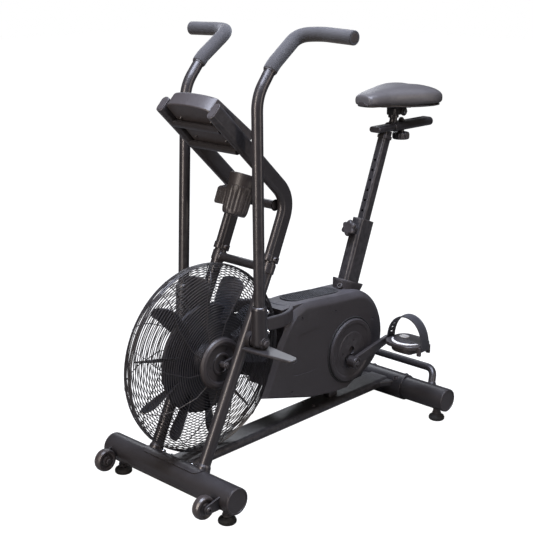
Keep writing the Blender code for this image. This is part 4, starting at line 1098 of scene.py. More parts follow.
class AIRBIKE_OT_covers(bpy.types.Operator):
    """Two halves of the belt cover with a chamfered front edge and a sunk side panel."""
    bl_idname = "airbike.covers"
    bl_label = "Covers"

    def execute(self, context):
        clear = GUARD_R + 0.0045
        arc = [(clear * math.cos(math.radians(a)), FAN_Z + clear * math.sin(math.radians(a)))
               for a in (-33, -24, -15, -6, 2, 10, 19)]
        wing = [(0.180, 0.226), (0.198, 0.262), (0.216, 0.300), (0.234, 0.342), (0.254, 0.382),
                (0.280, 0.420), (0.308, 0.452)]
        for side_name, side in SIDES:
            face = 0.0705 if side < 0 else 0.0575
            shoulder = 0.0265 if side < 0 else 0.016
            rings = []
            for y, drop in ((0.0003, 0.0), (0.020, 0.0), (0.038, 0.0004)):
                rings.append((y, arc + [(0.312, 0.488 - drop)], drop))
            if side < 0:
                step = 0.0568
                for y, t in ((0.0445, 0.10), (0.0520, 0.30), (step, 0.45)):
                    drop = shoulder * (1 - math.sqrt(1 - t * t))
                    rings.append((y, arc + [(0.312, 0.488 - drop)], drop))
                for y, t, back in ((step + 0.0004, 0.46, -0.002), (0.0600, 0.62, 0.001),
                                   (0.0645, 0.82, 0.007),
                                   (0.0685, 0.94, 0.013), (0.0700, 0.985, 0.0155), (face, 1.0, 0.0165)):
                    drop = shoulder * (1 - math.sqrt(max(0.0, 1 - t * t)))
                    shape = [(x + back, z + 0.2 * back) for x, z in wing]
                    rings.append((y, shape + [(0.318 + back, 0.476 - drop)], drop))
            else:
                for t in (0.3, 0.6, 0.8, 0.92, 0.98, 1.0):
                    y = 0.040 + (face - 0.040) * t
                    drop = shoulder * (1 - math.sqrt(max(0.0, 1 - t * t)))
                    rings.append((y, arc + [(0.312 + drop * 0.4, 0.488 - drop)], drop))
            bm, cutters = bmesh.new(), bmesh.new()
            loft(bm, [[Vector((x, side * y, z)) for x, z in cover_outline(front, drop)]
                      for y, front, drop in rings])
            if side < 0:
                panel = [(0.397, 0.396), (0.334, 0.392), (0.327, 0.386), (0.302, 0.276), (0.305, 0.268),
                         (0.316, 0.264), (0.380, 0.259), (0.450, 0.262), (0.455, 0.392)]
                hinge = 0.448
                near = [Vector((x, -0.0800, z)) for x, z in panel]
                sunk = [Vector((x, -face + 0.0034 * max(0.0, (hinge - x) / (hinge - 0.302)) - 0.0002, z))
                        for x, z in panel]
                loft(cutters, [near, sunk])
                for x, z in ((0.345, 0.443), (0.502, 0.430), (0.690, 0.360), (0.300, 0.215)):
                    rod(cutters, 0.0034, (x, -0.09, z), (x, -face + 0.004, z), 24, 0)
            else:
                for x, z in ((0.345, 0.443), (0.520, 0.430), (0.300, 0.215)):
                    rod(cutters, 0.0034, (x, 0.09, z), (x, face - 0.004, z), 24, 0)
            sweep(cutters, [seat_axis_point(-0.46), seat_axis_point(-0.10)],
                  rounded_box(0.0434, 0.0734, 0.0125, 8), Y_AXIS)
            piece("cover_shell_" + side_name, bm, "cover", "frame", ("cover_" + side_name,), cutters)
        bm = bmesh.new()
        for side, spots in ((-1, ((0.345, 0.443), (0.502, 0.430), (0.690, 0.360), (0.300, 0.215))),
                            (1, ((0.345, 0.443), (0.520, 0.430), (0.300, 0.215)))):
            for x, z in spots:
                face = 0.0705 if side < 0 else 0.0575
                button_bolt(bm, (x, side * (face - 0.0034), z), Y_AXIS * side, 0.0029, 0.0018)
        piece("cover_screws", bm, "trim", "frame")
        return {"FINISHED"}


class AIRBIKE_OT_deck_mat(bpy.types.Operator):
    """Long oval grip mat on the cover's deck with rows of raised pips."""
    bl_idname = "airbike.deck_mat"
    bl_label = "Deck mat"

    def execute(self, context):
        first, last, half = 0.336, 0.572, 0.036
        outline = rounded_box(last - first, 2 * half, half - 0.002, 16)
        centre = (first + last) / 2
        bm = bmesh.new()

        def lay(a, b, lift):
            return Vector((centre + a, b, deck_height(centre + a) + lift))
        rim_low = [lay(a, b, -0.001) for a, b in outline]
        rim_high = [lay(a, b, 0.0014) for a, b in outline]
        top = [lay(a * 0.985, b * 0.96, 0.0022) for a, b in outline]
        dip = [lay(a * 0.95, b * 0.86, 0.0022) for a, b in outline]
        floor = [lay(a * 0.94, b * 0.84, 0.0006) for a, b in outline]
        loft(bm, [rim_low, rim_high, top, dip, floor])
        for i in range(-13, 14):
            for j in range(-4, 5):
                a, b = i * 0.0086 + (j % 2) * 0.0043, j * 0.0068
                inside = abs(b) < half * 0.80 and abs(a) < (last - first) / 2 * 0.93
                corner = abs(a) - ((last - first) / 2 - half)
                if not inside or (corner > 0 and math.hypot(corner, b) > half * 0.80):
                    continue
                way = Vector((0.08, 0, 1)).normalized()
                turned(bm, ((0.0026, -0.0006), (0.0024, 0.0010), (0.0015, 0.0019), (0, 0.0021)),
                       lay(a, b, 0.0005), way, 10)
        piece("deck_mat", bm, "rubber", "frame")
        return {"FINISHED"}


class AIRBIKE_OT_crank_cover(bpy.types.Operator):
    """Round dished cover on the left wall with three screws, and a dark ring round its rim that paints the
    shade of the gap between cover and wall.
    """
    bl_idname = "airbike.crank_cover"
    bl_label = "Crank cover"

    def execute(self, context):
        where, radius, y = Vector((0.576, 0, 0.281)), 0.108, 0.0706
        bm = bmesh.new()
        turned(bm, ((0.0135, y + 0.001), (radius - 0.004, y + 0.001), (radius - 0.004, y + 0.0052),
                    (radius - 0.0075, y + 0.0090), (radius - 0.017, y + 0.0094), (radius - 0.023, y + 0.0068),
                    (0.062, y + 0.0050), (0.0585, y + 0.0066), (0.0135, y + 0.0066)),
               where, -Y_AXIS, 160, 0.0022, closed=True)
        cutters = bmesh.new()
        rod(cutters, 0.0225, (CRANK.x, -0.05, CRANK.z), (CRANK.x, -0.12, CRANK.z), 64, 0)
        spots = [Vector((0.562 + x, 0, 0.300 + z)) for x,
                 z in ((-0.012, 0.030), (0.022, 0.012), (-0.030, -0.022))]
        for spot in spots:
            rod(cutters, 0.0036, spot - Y_AXIS * (y + 0.0045), spot - Y_AXIS * 0.1, 24, 0)
        piece("crank_disc", bm, "cover", "frame", ("crank_cover",), cutters)
        bm = bmesh.new()
        for spot in spots:
            button_bolt(bm, spot - Y_AXIS * (y + 0.0042), -Y_AXIS, 0.0031, 0.0020)
        piece("crank_disc_screws", bm, "trim", "frame")
        # Painted shade: a dark rubber-finished ring standing in for the shadow in the gap round the disc.
        bm = bmesh.new()
        turned(bm, ((radius - 0.005, y - 0.001), (radius - 0.005, y + 0.0014), (radius - 0.0018, y + 0.0014),
                    (radius + 0.0002, y + 0.0026), (radius + 0.0024, y + 0.0012),
                    (radius + 0.0026, y - 0.001)),
               where, -Y_AXIS, 160, 0.0006, closed=True)
        piece("crank_disc_shade_ring", bm, "rubber", "frame")
        return {"FINISHED"}


class AIRBIKE_OT_belt_guard(bpy.types.Operator):
    """Narrow guard on the right from the fan's hub to the crank, with a pressed rib and screws."""
    bl_idname = "airbike.belt_guard"
    bl_label = "Belt guard"

    def execute(self, context):
        bm = bmesh.new()
        ends = ((0, FAN_Z), (CRANK.x, CRANK.z))
        rings = []
        for y, shrink in ((0.0588, 0.0), (0.0745, 0.0), (0.0772, 0.0008), (0.0788, 0.0026), (0.0795, 0.0052)):
            rings.append([Vector((x, y, z)) for x, z in link_outline(*ends, 0.040 - shrink,
                                                                     0.118 - shrink, 40)])
        for y, shrink in ((0.0795, 0.0120), (0.0782, 0.0138), (0.0782, 0.0150)):
            rings.append([Vector((x, y, z)) for x, z in link_outline(*ends, 0.040 - shrink,
                                                                     0.118 - shrink, 40)])
        loft(bm, rings)
        cutters = bmesh.new()
        rod(cutters, 0.0240, (CRANK.x, 0.0765, CRANK.z), (CRANK.x, 0.1, CRANK.z), 64, 0)
        rod(cutters, 0.0125, (0, 0.0765, FAN_Z), (0, 0.1, FAN_Z), 48, 0)
        piece("belt_guard_shell", bm, "cover", "frame", ("belt_guard", "drive_belt"), cutters)
        bm = bmesh.new()
        for x, z in ((0.060, 0.405), (0.300, 0.250), (0.330, 0.378), (0.640, 0.300), (0.520, 0.170)):
            button_bolt(bm, (x, 0.0779, z), Y_AXIS, 0.0036, 0.0022)
        turned(bm, ((0.0090, 0.0765), (0.0235, 0.0765), (0.0235, 0.0790), (0.0200, 0.0800), (0.0090, 0.0800)),
               (CRANK.x, 0, CRANK.z), Y_AXIS, 64, 0.0006, closed=True)
        piece("belt_guard_screws", bm, "trim", "frame")
        return {"FINISHED"}


class AIRBIKE_OT_shroud_arms(bpy.types.Operator):
    """Horseshoe arms of the cover that reach round the guard to the fork."""
    bl_idname = "airbike.shroud_arms"
    bl_label = "Shroud arms"

    def execute(self, context):
        for side_name, side in SIDES:
            bm = bmesh.new()
            path = fillet([(0.322, side * 0.040, 0.468), (0.300, side * 0.066, 0.468),
                           (0.256, side * 0.088, 0.471),
                           (0.222, side * 0.1005, 0.474), (0.108, side * 0.101, 0.480)], 0.09, 10)
            sweep(bm, path, rounded_box(0.0135, 0.040, 0.0050, 6), Y_AXIS, ends=0.002)
            piece("shroud_" + side_name, bm, "cover", "frame", ("shroud_arm_" + side_name,))
        bm = bmesh.new()
        arc = [Vector((0.3235 - 0.026 * math.cos(a), 0.046 * math.sin(a), 0.470))
               for a in (math.radians(-80 + 160 * i / 20) for i in range(21))]
        sweep(bm, arc, rounded_box(0.012, 0.036, 0.005, 5), X_AXIS, ends=0.002)
        piece("shroud_bridge", bm, "cover", "frame")
        return {"FINISHED"}


class AIRBIKE_OT_seat_collar(bpy.types.Operator):
    """Flared cup of the cover around the seat tube, with its clamp screw."""
    bl_idname = "airbike.seat_collar"
    bl_label = "Seat collar"

    def execute(self, context):
        bm = bmesh.new()
        levels = ((-0.250, 0.070, 0.104, 0.034), (-0.238, 0.066, 0.100, 0.0325),
                  (-0.224, 0.069, 0.104, 0.034),
                  (-0.210, 0.0755, 0.111, 0.0375), (-0.2035, 0.0785, 0.1135, 0.0390),
                  (-0.2000, 0.0765, 0.1115, 0.0380), (-0.2004, 0.0725, 0.1075, 0.0360),
                  (-0.208, 0.0660, 0.1000, 0.0325), (-0.224, 0.0436, 0.0736, 0.0125),
                  (-0.250, 0.0436, 0.0736, 0.0125))
        rings = []
        for distance, width, depth, radius in levels:
            outline = rounded_box(width, depth, radius, 14)
            rings.append(sweep_rings([seat_axis_point(distance), seat_axis_point(distance + 0.001)],
                                     outline, Y_AXIS)[0])
        loft(bm, rings, closed=True)
        piece("seat_cup", bm, "cover", "frame", ("seat_collar",))
        bm = bmesh.new()
        boss = seat_axis_point(-0.2245, 0.0475, -0.012)
        way = (SEAT_FRONT + Vector((0, -0.35, 0.25))).normalized()
        turned(bm, ((0.0042, 0.0), (0.0098, 0.0), (0.0090, 0.0075), (0.0072, 0.0088), (0.0046, 0.0086),
                    (0.0042, 0.0030)),
               boss, way, 40, 0.0008, closed=True)
        button_bolt(bm, boss + way * 0.0030, way, 0.0040, 0.0024)
        piece("cup_screw_boss", bm, "trim", "frame")
        return {"FINISHED"}


# ---- crank and pedals -----------------------------------------------------------------
def pedal_spot(side_name):
    spot = PEDALS[side_name]
    reach, angle = 0.170, math.radians(12.5)
    way = 1 if side_name == "left" else -1
    return Vector((CRANK.x + way * reach * math.cos(angle), spot.y, CRANK.z + way * reach * math.sin(angle)))


class AIRBIKE_OT_crank(bpy.types.Operator):
    """Crank axle, belt wheel and two forged arms with their bosses, bolts and spindles."""
    bl_idname = "airbike.crank"
    bl_label = "Crank"

    def execute(self, context):
        bm = bmesh.new()
        rod(bm, 0.0085, (CRANK.x, -0.111, CRANK.z), (CRANK.x, 0.111, CRANK.z), 40)
        piece("crank_shaft", bm, "steel", "crank", ("crank_axle",))
        bm = bmesh.new()
        low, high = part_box("drive_pulley")[0].y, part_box("drive_pulley")[1].y
        turned(bm, ((0.0088, low), (0.020, low), (0.020, 0.066), (0.088, 0.066), (0.088, 0.0612),
                    (0.100, 0.0612),
                    (0.100, high), (0.088, high), (0.088, 0.070), (0.0088, 0.070)), CRANK * 1, Y_AXIS,
                    96, 0.0008,
               closed=True)
        piece("crank_belt_wheel", bm, "blade", "crank", ("drive_pulley",))
        for side_name, side in SIDES:
            spot = pedal_spot(side_name)
            hub, end = Vector((CRANK.x, 0, CRANK.z)), Vector((spot.x, 0, spot.z))
            bm = bmesh.new()
            slab(bm, link_outline((hub.x, hub.z), (end.x, end.z), 0.0165, 0.0132), 0.0925, 0.1065,
                 upright(side), 0.0032)
            turned(bm, ((0, 0.083), (0.0192, 0.083), (0.0192, 0.1100), (0.0165, 0.1135), (0.0120, 0.1135),
                        (0.0110, 0.1100), (0, 0.1100)), hub, Y_AXIS * side, 64, 0.0012)
            turned(bm, ((0, 0.1040), (0.0098, 0.1040), (0.0098, 0.1108), (0.0070, 0.1108), (0.0070, 0.118),
                        (0.0066, 0.2240), (0, 0.2240)), end, Y_AXIS * side, 36, 0.0006)
            piece("crank_forging_" + side_name, bm, "crank", "crank", ("crank_arm_" + side_name,))
            bm = bmesh.new()
            hex_nut(bm, hub + Y_AXIS * side * 0.1095, Y_AXIS * side, 0.0085, 0.0062)
            turned(bm, ((0, 0.0895), (0.0072, 0.0895), (0.0072, 0.0922), (0, 0.0922)), end,
                   Y_AXIS * side, 32, 0.0005)
            piece("crank_nut_" + side_name, bm, "trim", "crank")
        return {"FINISHED"}


class AIRBIKE_OT_pedals(bpy.types.Operator):
    """Weighted platform pedals with pale inserts, end cap and clip lugs."""
    bl_idname = "airbike.pedals"
    bl_label = "Pedals"

    def execute(self, context):
        for side_name, side in SIDES:
            spot = pedal_spot(side_name)
            mid = Vector((spot.x, side * 0.174, spot.z))
            body = "pedal_" + side_name
            bm = bmesh.new()

            def place(a, b, z):
                return mid + Vector((a, side * (b + 0.011), z))
            slab(bm, rounded_box(0.116, 0.129, 0.040, 14), 0.0030, 0.0170, place, 0.0036)
            slab(bm, rounded_box(0.092, 0.096, 0.036, 12), -0.0165, 0.0060, place, 0.0075)
            rod(bm, 0.0165, mid - Y_AXIS * side * 0.0530, mid + Y_AXIS * side * 0.0505, 48, 0.002)
            slab(bm, rounded_box(0.050, 0.060, 0.012, 8), -0.0245, -0.0100, place, 0.0060)
            for a in (-0.0245, 0.0245):
                slab(bm, [(x + a, y + 0.0640) for x, y in rounded_box(0.011, 0.013, 0.0025, 4)], -0.016,
                     0.0125, place,
                     0.001)
                slab(bm, [(x + a, y - 0.0620) for x, y in rounded_box(0.009, 0.011, 0.0025, 4)], -0.002,
                     0.0140, place,
                     0.001)
            cutters = bmesh.new()
            rod(cutters, 0.0074, mid - Y_AXIS * side * 0.06, mid + Y_AXIS * side * 0.0502, 32, 0)
            rod(cutters, 0.0125, mid + Y_AXIS * side * 0.0495, mid + Y_AXIS * side * 0.06, 40, 0)
            piece("pedal_body_" + side_name, bm, "trim", body, (body,), cutters)
            bm = bmesh.new()
            oval = [(x + 0.022, y - 0.030) for x, y in rounded_box(0.026, 0.034, 0.0128, 12)]
            slab(bm, oval, 0.0165, 0.0190, place, 0.0008)
            outer = [(0.0520 * math.sin(a), 0.0520 * math.cos(a))
                     for a in (math.radians(-78 + 156 * i / 24) for i in range(25))]
            inner = [(0.0490 * math.sin(a), 0.0400 * math.cos(a))
                     for a in (math.radians(70 - 140 * i / 24) for i in range(25))]
            slab(bm, [(-b, a) for a, b in outer + inner], 0.0165, 0.0186, place, 0.0005)
            piece("pedal_insert_" + side_name, bm, "pale", body)
            bm = bmesh.new()
            for a in (-0.010, 0.006):
                for b in (-0.020, -0.006, 0.008, 0.022):
                    turned(bm, ((0.0022, -0.0005), (0.0020, 0.0012), (0, 0.0018)), place(a, b, 0.0168),
                           Z_AXIS, 16)
            turned(bm, ((0, 0.0496), (0.0122, 0.0496), (0.0122, 0.0512), (0.0090, 0.0520), (0, 0.0520)), mid,
                   Y_AXIS * side, 40, 0.0005)
            piece("pedal_cap_" + side_name, bm, "trim", body)
        return {"FINISHED"}


class AIRBIKE_OT_pedal_straps(bpy.types.Operator):
    """Curved rubber straps with a raised border and adjusting holes."""
    bl_idname = "airbike.pedal_straps"
    bl_label = "Pedal straps"

    def execute(self, context):
        for side_name, side in SIDES:
            spot = pedal_spot(side_name)
            near, far, low, top = 0.1160, 0.2545, -0.004, 0.099
            path = []
            for i in range(57):
                angle = math.pi * i / 56
                y = (near + far) / 2 - (far - near) / 2 * math.cos(angle)
                path.append(Vector((spot.x, side * y, spot.z + low + (top - low) * math.sin(angle) ** 0.8)))
            half, thick, edge, rim = 0.0190, 0.0012, 0.0030, 0.0020
            profile = [(half, rim), (half - edge, rim), (half - edge - 0.001, thick),
                       (-half + edge + 0.001, thick),
                       (-half + edge, rim), (-half, rim), (-half, -rim), (-half + edge, -rim),
                       (-half + edge + 0.001, -thick), (half - edge - 0.001, -thick),
                       (half - edge, -rim), (half, -rim)]
            bm, cutters = bmesh.new(), bmesh.new()
            sweep(bm, path, profile, X_AXIS)
            for i in (5, 8, 11, 14):
                along = (path[i + 1] - path[i - 1]).normalized()
                out = along.cross(X_AXIS)
                point = path[i]
                slab(cutters, rounded_box(0.0115, 0.0046, 0.0018, 4), -0.006, 0.006,
                     lambda a, b, c: point + X_AXIS * a + along * b + out * c)
            name = "pedal_strap_" + side_name
            piece("strap_band_" + side_name, bm, "strap", "pedal_" + side_name, (name,), cutters)
        return {"FINISHED"}


# ---- handles --------------------------------------------------------------------------
def lever_path(side, start):
    """Middle line of a handle: up from its socket, then back and out to the grip's end."""
    points = fillet([(PIVOT_X + 0.0005, side * LEVER_Y, start), (PIVOT_X + 0.009, side * LEVER_Y, 1.150),
                     (0.138, side * LEVER_Y, 1.228), (0.238, side * LEVER_Y, 1.2985),
                     (0.272, side * 0.215, 1.3015), (0.262, side * 0.335, 1.2985)], 0.115, 18)
    lean = Matrix.Rotation(side * LEVER_LEAN, 3, "Y")
    pivot = Vector((PIVOT_X, 0, PIVOT_Z))
    return [pivot + lean @ (point - pivot) for point in points]


def handle_up(side):
    lean = Matrix.Rotation(side * LEVER_LEAN, 3, "Y")
    return (lean @ Vector((0.0075, 0, 1))).normalized()


class AIRBIKE_OT_levers(bpy.types.Operator):
    """Bent tubes of the two handles."""
    bl_idname = "airbike.levers"
    bl_label = "Handle tubes"

    def execute(self, context):
        for side_name, side in SIDES:
            bm = bmesh.new()
            sweep(bm, lever_path(side, PIVOT_Z + 0.026), circle(LEVER_R, 48), Y_AXIS)
            piece("handle_tube_" + side_name, bm, "handle", "handle_" + side_name, ("lever_" + side_name,))
        return {"FINISHED"}


class AIRBIKE_OT_grips(bpy.types.Operator):
    """Foam sleeves with rolled ends and a plug in each handle's end."""
    bl_idname = "airbike.grips"
    bl_label = "Grips"

    def execute(self, context):
        for side_name, side in SIDES:
            path = lever_path(side, PIVOT_Z + 0.026)
            first = next(i for i, point in enumerate(path) if point.z > 1.2055)
            path = path[first:]
            way = (path[-1] - path[-2]).normalized()
            bm = bmesh.new()
            dense = []
            for before, after in zip(path, path[1:]):
                steps = max(1, int((after - before).length / 0.006))
                dense += [before.lerp(after, i / steps) for i in range(steps)]
            sweep(bm, dense + [path[-1], path[-1] + way * 0.0012], circle(GRIP_R, 48), Y_AXIS, ends=0.0030)
            body = "handle_" + side_name
            piece("foam_grip_" + side_name, bm, "foam", body, ("grip_" + side_name,))
            bm = bmesh.new()
            end = path[-1] + way * 0.0036
            turned(bm, ((0, 0.0012), (0.0118, 0.0012), (0.0140, 0.0004), (0.0148, -0.0015), (0.0148, -0.006),
                        (0, -0.006)), end, way, 48, 0.0006)
            piece("grip_plug_" + side_name, bm, "trim", body)
            bm = bmesh.new()
            start = path[0] - (path[1] - path[0]).normalized() * 0.0035
            along = (path[1] - path[0]).normalized()
            turned(bm, ((LEVER_R, -0.002), (LEVER_R + 0.0022, -0.002), (LEVER_R + 0.0022, 0.0015),
                        (LEVER_R, 0.0015)),
                   start, along, 48, 0.0006, closed=True)
            piece("grip_ring_" + side_name, bm, "trim", body)
        return {"FINISHED"}


class AIRBIKE_OT_lever_sockets(bpy.types.Operator):
    """Sockets at the foot of the handles, with pivot hub, lip and two clamp bolts."""
    bl_idname = "airbike.lever_sockets"
    bl_label = "Handle sockets"

    def execute(self, context):
        for side_name, side in SIDES:
            up = handle_up(side)
            pivot = Vector((PIVOT_X, side * LEVER_Y, PIVOT_Z))
            body = "handle_" + side_name
            bm = bmesh.new()
            turned(bm, ((0, -0.012), (0.0180, -0.012), (0.0225, -0.004), (0.0225, 0.0985), (0.0205, 0.1035),
                        (0.0178, 0.1060), (LEVER_R, 0.1060), (LEVER_R, 0.090), (0, 0.090)), pivot, up,
                        64, 0.002)
            bore = bmesh.new()
            rod(bore, 0.0088, pivot - Y_AXIS * 0.04, pivot + Y_AXIS * 0.04, 48, 0)
            turned(bm, ((0, -0.0228), (0.0180, -0.0228), (0.0180, 0.0228), (0, 0.0228)), pivot, Y_AXIS,
                   64, 0.0014)
            piece("socket_" + side_name, bm, "handle", body, ("lever_socket_" + side_name,), bore)
            bm = bmesh.new()
            way = Vector((0.78, side * 0.62, 0)).normalized()
            for height in (0.029, 0.088):
                spot = pivot + up * height + way * 0.0221
                turned(bm, ((0, 0), (0.0080, 0), (0.0080, 0.0016), (0, 0.0016)), spot, way, 32, 0.0004)
                button_bolt(bm, spot + way * 0.0013, way, 0.0062, 0.0050)
            piece("socket_bolts_" + side_name, bm, "steel", body)
        return {"FINISHED"}


class AIRBIKE_OT_foot_pegs(bpy.types.Operator):
    """Pivot bosses on the fork with tapered foot plates."""
    bl_idname = "airbike.foot_pegs"
    bl_label = "Foot pegs"

    def execute(self, context):
        for side_name, side in SIDES:
            hub = Vector((PIVOT_X, 0, PIVOT_Z))
            bm = bmesh.new()
            turned(bm, ((0, 0.1194), (0.0225, 0.1194), (0.0225, 0.1368), (0.0082, 0.1368), (0.0082, 0.1835),
                        (0, 0.1835)), hub, Y_AXIS * side, 64, 0.0012)
            plan = [(-0.034, 0.1215), (0.030, 0.1215), (0.033, 0.160), (0.018, 0.285), (0.006, 0.297),
                    (-0.010, 0.297), (-0.018, 0.285)]
            outline = [(p.x, p.y) for p in fillet([Vector(p) for p in plan], 0.010, 5)]
            slab(bm, outline, -0.0285, -0.0187, lambda a, b, c: hub + Vector((a, side * b, c)), 0.0030)
            x0, y0, x1, y1 = -0.010, 0.135, 0.002, 0.280
            path = [hub + Vector((x0, side * y0, -0.0285)), hub + Vector((x1, side * y1, -0.0285))]
            sweep(bm, path, rounded_box(0.006, 0.010, 0.0025, 4), X_AXIS, ends=0.001)
            piece("peg_plate_" + side_name, bm, "powder", "frame", ("foot_peg_" + side_name,))
            bm = bmesh.new()
            turned(bm, ((0.0050, 0.1832), (0.0135, 0.1832), (0.0135, 0.1850), (0.0050, 0.1850)), hub,
                   Y_AXIS * side,
                   40, 0.0004, closed=True)
            hex_nut(bm, hub + Y_AXIS * side * 0.1848, Y_AXIS * side, 0.0105, 0.0062)
            piece("peg_nut_" + side_name, bm, "trim", "frame")
        return {"FINISHED"}


# ---- console --------------------------------------------------------------------------
CONSOLE_FOOT = Vector((-0.044, 0, 1.116))
CONSOLE_UP = Vector((-0.695, 0, 0.719))
CONSOLE_OUT = Vector((0.719, 0, 0.695))


def console_point(down, y, out):
    return CONSOLE_FOOT - CONSOLE_UP * down + Y_AXIS * y + CONSOLE_OUT * out


def console_face(down, y, lift):
    """Point above the console's sloping front."""
    return console_point(down, y, 0.0440 + 0.1365 * down + lift)


class AIRBIKE_OT_console(bpy.types.Operator):
    """Console with an arched hood, window, bezel, segments, keys and push button."""
    bl_idname = "airbike.console"
    bl_label = "Console"

    def execute(self, context):
        half, steps = 0.0862, 40
        plan = [(0.182, half - 0.014), (0.180, half - 0.007), (0.172, half)]
        plan += [(0.002 - 0.018 * math.sin(math.pi * i / steps), half * math.cos(math.pi * i / steps))
                 for i in range(steps + 1)]
        plan += [(0.172, -half), (0.180, -half + 0.007), (0.182, -half + 0.014)]
        levels = ((-0.004, 0.0, 0.955), (-0.0030, 0.0, 0.985), (-0.0005, 0.0, 1.0), (0.036, 0.13, 1.0),
                  (0.0405, 0.13, 0.993), (0.0432, 0.13, 0.972), (0.0440, 0.13, 0.945))
        bm = bmesh.new()
        rings = []
        for out, slope, scale in levels:
            rings.append([console_point(0.091 + (down - 0.091) * scale, y * scale, out + slope * down)
                          for down, y in plan])
        loft(bm, rings)
        piece("console_shell", bm, "trim", "frame", ("console_housing",))
        bm = bmesh.new()
        outer, inner = rounded_box(0.130, 0.128, 0.014, 10), rounded_box(0.117, 0.115, 0.010, 10)
        rings = [[console_face(0.076 + a, b, lift) for a, b in shape] for shape, lift in
                 ((outer, -0.002), (outer, 0.0010), ([(a * 0.985, b * 0.985) for a, b in outer], 0.0022),
                  ([(a * 1.015, b * 1.015) for a, b in inner], 0.0022), (inner, 0.0012), (inner, -0.002))]
        loft(bm, rings, closed=True)
        piece("console_bezel", bm, "trim", "frame")
        bm = bmesh.new()
        slab(bm, rounded_box(0.1165, 0.1145, 0.010, 10), -0.001, 0.0013,
             lambda a, b, c: console_face(0.076 + a, b, c), 0.0004)
        piece("console_window", bm, "glass", "frame", ("console_screen",))
        bm = bmesh.new()
        for row in range(5):
            for k in range(4):
                centre = (0.034 + row * 0.021, -0.041 + k * 0.0273)
                for a, b, w, h in ((0, 0, 0.0016, 0.010), (-0.0066, 0, 0.0016, 0.010),
                                   (0.0066, 0, 0.0016, 0.010),
                                   (-0.0033, 0.0058, 0.0052, 0.0014), (0.0033, -0.0058, 0.0052, 0.0014)):
                    if (row * 7 + k * 3 + int((a + b) * 9000)) % 4 == 0:
                        continue
                    slab(bm, [(a + x, b + y) for x, y in rounded_box(w, h, 0.0005, 2)], 0.0012, 0.0015,
                         lambda p, q, c: console_face(centre[0] + p, centre[1] + q, c))
        piece("console_segments", bm, "ink", "frame")
        bm = bmesh.new()
        for y in (-0.052, -0.034, 0.034, 0.052):
            slab(bm, rounded_box(0.009, 0.0135, 0.003, 5), -0.001, 0.0020,
                 lambda a, b, c: console_face(0.158 + a, y + b, c), 0.0006)
        piece("console_keys", bm, "rubber", "frame")
        bm = bmesh.new()
        turned(bm, ((0, 0.0024), (0.0108, 0.0024), (0.0108, 0.0042), (0.0090, 0.0050), (0, 0.0046)),
               console_face(0.158, 0, 0.0006), CONSOLE_OUT, 56, 0.0006)
        piece("push_button", bm, "pale", "console_button", ("console_button",))
        bm = bmesh.new()
        turned(bm, ((0.0116, -0.002), (0.0145, -0.002), (0.0145, 0.0008), (0.0130, 0.0016), (0.0116, 0.0012)),
               console_face(0.158, 0, 0.0), CONSOLE_OUT, 56, 0.0004, closed=True)
        piece("button_ring", bm, "trim", "frame")
        bm = bmesh.new()
        for down in (0.045, 0.125):
            for side in (-1, 1):
                button_bolt(bm, console_point(down, side * 0.060, -0.0042), -CONSOLE_OUT, 0.0050, 0.0036)
        for down in (0.060, 0.150):
            rod(bm, 0.0105, console_point(down, -0.094, -0.0145), console_point(down, 0.094, -0.0145), 40)
        piece("console_mounts", bm, "powder", "frame")
        return {"FINISHED"}


class AIRBIKE_OT_bottle_holder(bpy.types.Operator):
    """Leaning cup with a fluted lower wall, flared lip and ribbed clamp block."""
    bl_idname = "airbike.bottle_holder"
    bl_label = "Bottle holder"

    def execute(self, context):
        lean = Vector((math.sin(0.40), 0, math.cos(0.40)))
        base = Vector((0.108, -0.016, 0.798))
        spin = Z_AXIS.rotation_difference(lean).to_matrix()
        steps = 144
        levels = ((0.0, 0.0300, 0.0), (0.0015, 0.0330, 0.0), (0.006, 0.0352, 0.0006), (0.014, 0.0372, 0.0016),
                  (0.060, 0.0390, 0.0018), (0.072, 0.0396, 0.0012), (0.078, 0.0400, 0.0),
                  (0.082, 0.0388, 0.0),
                  (0.086, 0.0402, 0.0), (0.105, 0.0405, 0.0), (0.113, 0.0414, 0.0), (0.1165, 0.0412, 0.0),
                  (0.1180, 0.0398, 0.0), (0.1172, 0.0384, 0.0), (0.105, 0.0374, 0.0), (0.012, 0.0352, 0.0),
                  (0.0050, 0.0320, 0.0))
        rings = []
        for height, radius, flute in levels:
            ring = []
            for i in range(steps):
                angle = 2 * math.pi * i / steps
                reach = radius - flute * abs(math.sin(12 * angle))
                ring.append(base + spin @ Vector((reach * math.cos(angle), reach * math.sin(angle), height)))
            rings.append(ring)
        bm = bmesh.new()
        loft(bm, rings)
        piece("bottle_cup", bm, "trim", "frame", ("bottle_holder",))
        bm = bmesh.new()

        def block(a, b, c):
            return base + lean * c + Vector((a, b, 0))
        slab(bm, [(x, y + 0.0555) for x, y in rounded_box(0.036, 0.040, 0.006, 6)], 0.028, 0.078, block,
             0.003)
        for k in range(7):
            x = -0.0145 + k * 0.0048
            slab(bm, [(x + a, 0.0755 + b) for a, b in rounded_box(0.0024, 0.0032, 0.0008, 3)], 0.032,
                 0.074, block, 0.0006)
        for k in range(6):
            y = 0.0420 + k * 0.0055
            slab(bm, [(-0.0180 + a, y + b) for a, b in rounded_box(0.0030, 0.0026, 0.0008, 3)], 0.032,
                 0.074, block, 0.0006)
        rod(bm, 0.006, block(0.006, 0.060, 0.040), block(0.030, 0.086, 0.040), 24)
        piece("cup_clamp", bm, "trim", "frame")
        return {"FINISHED"}


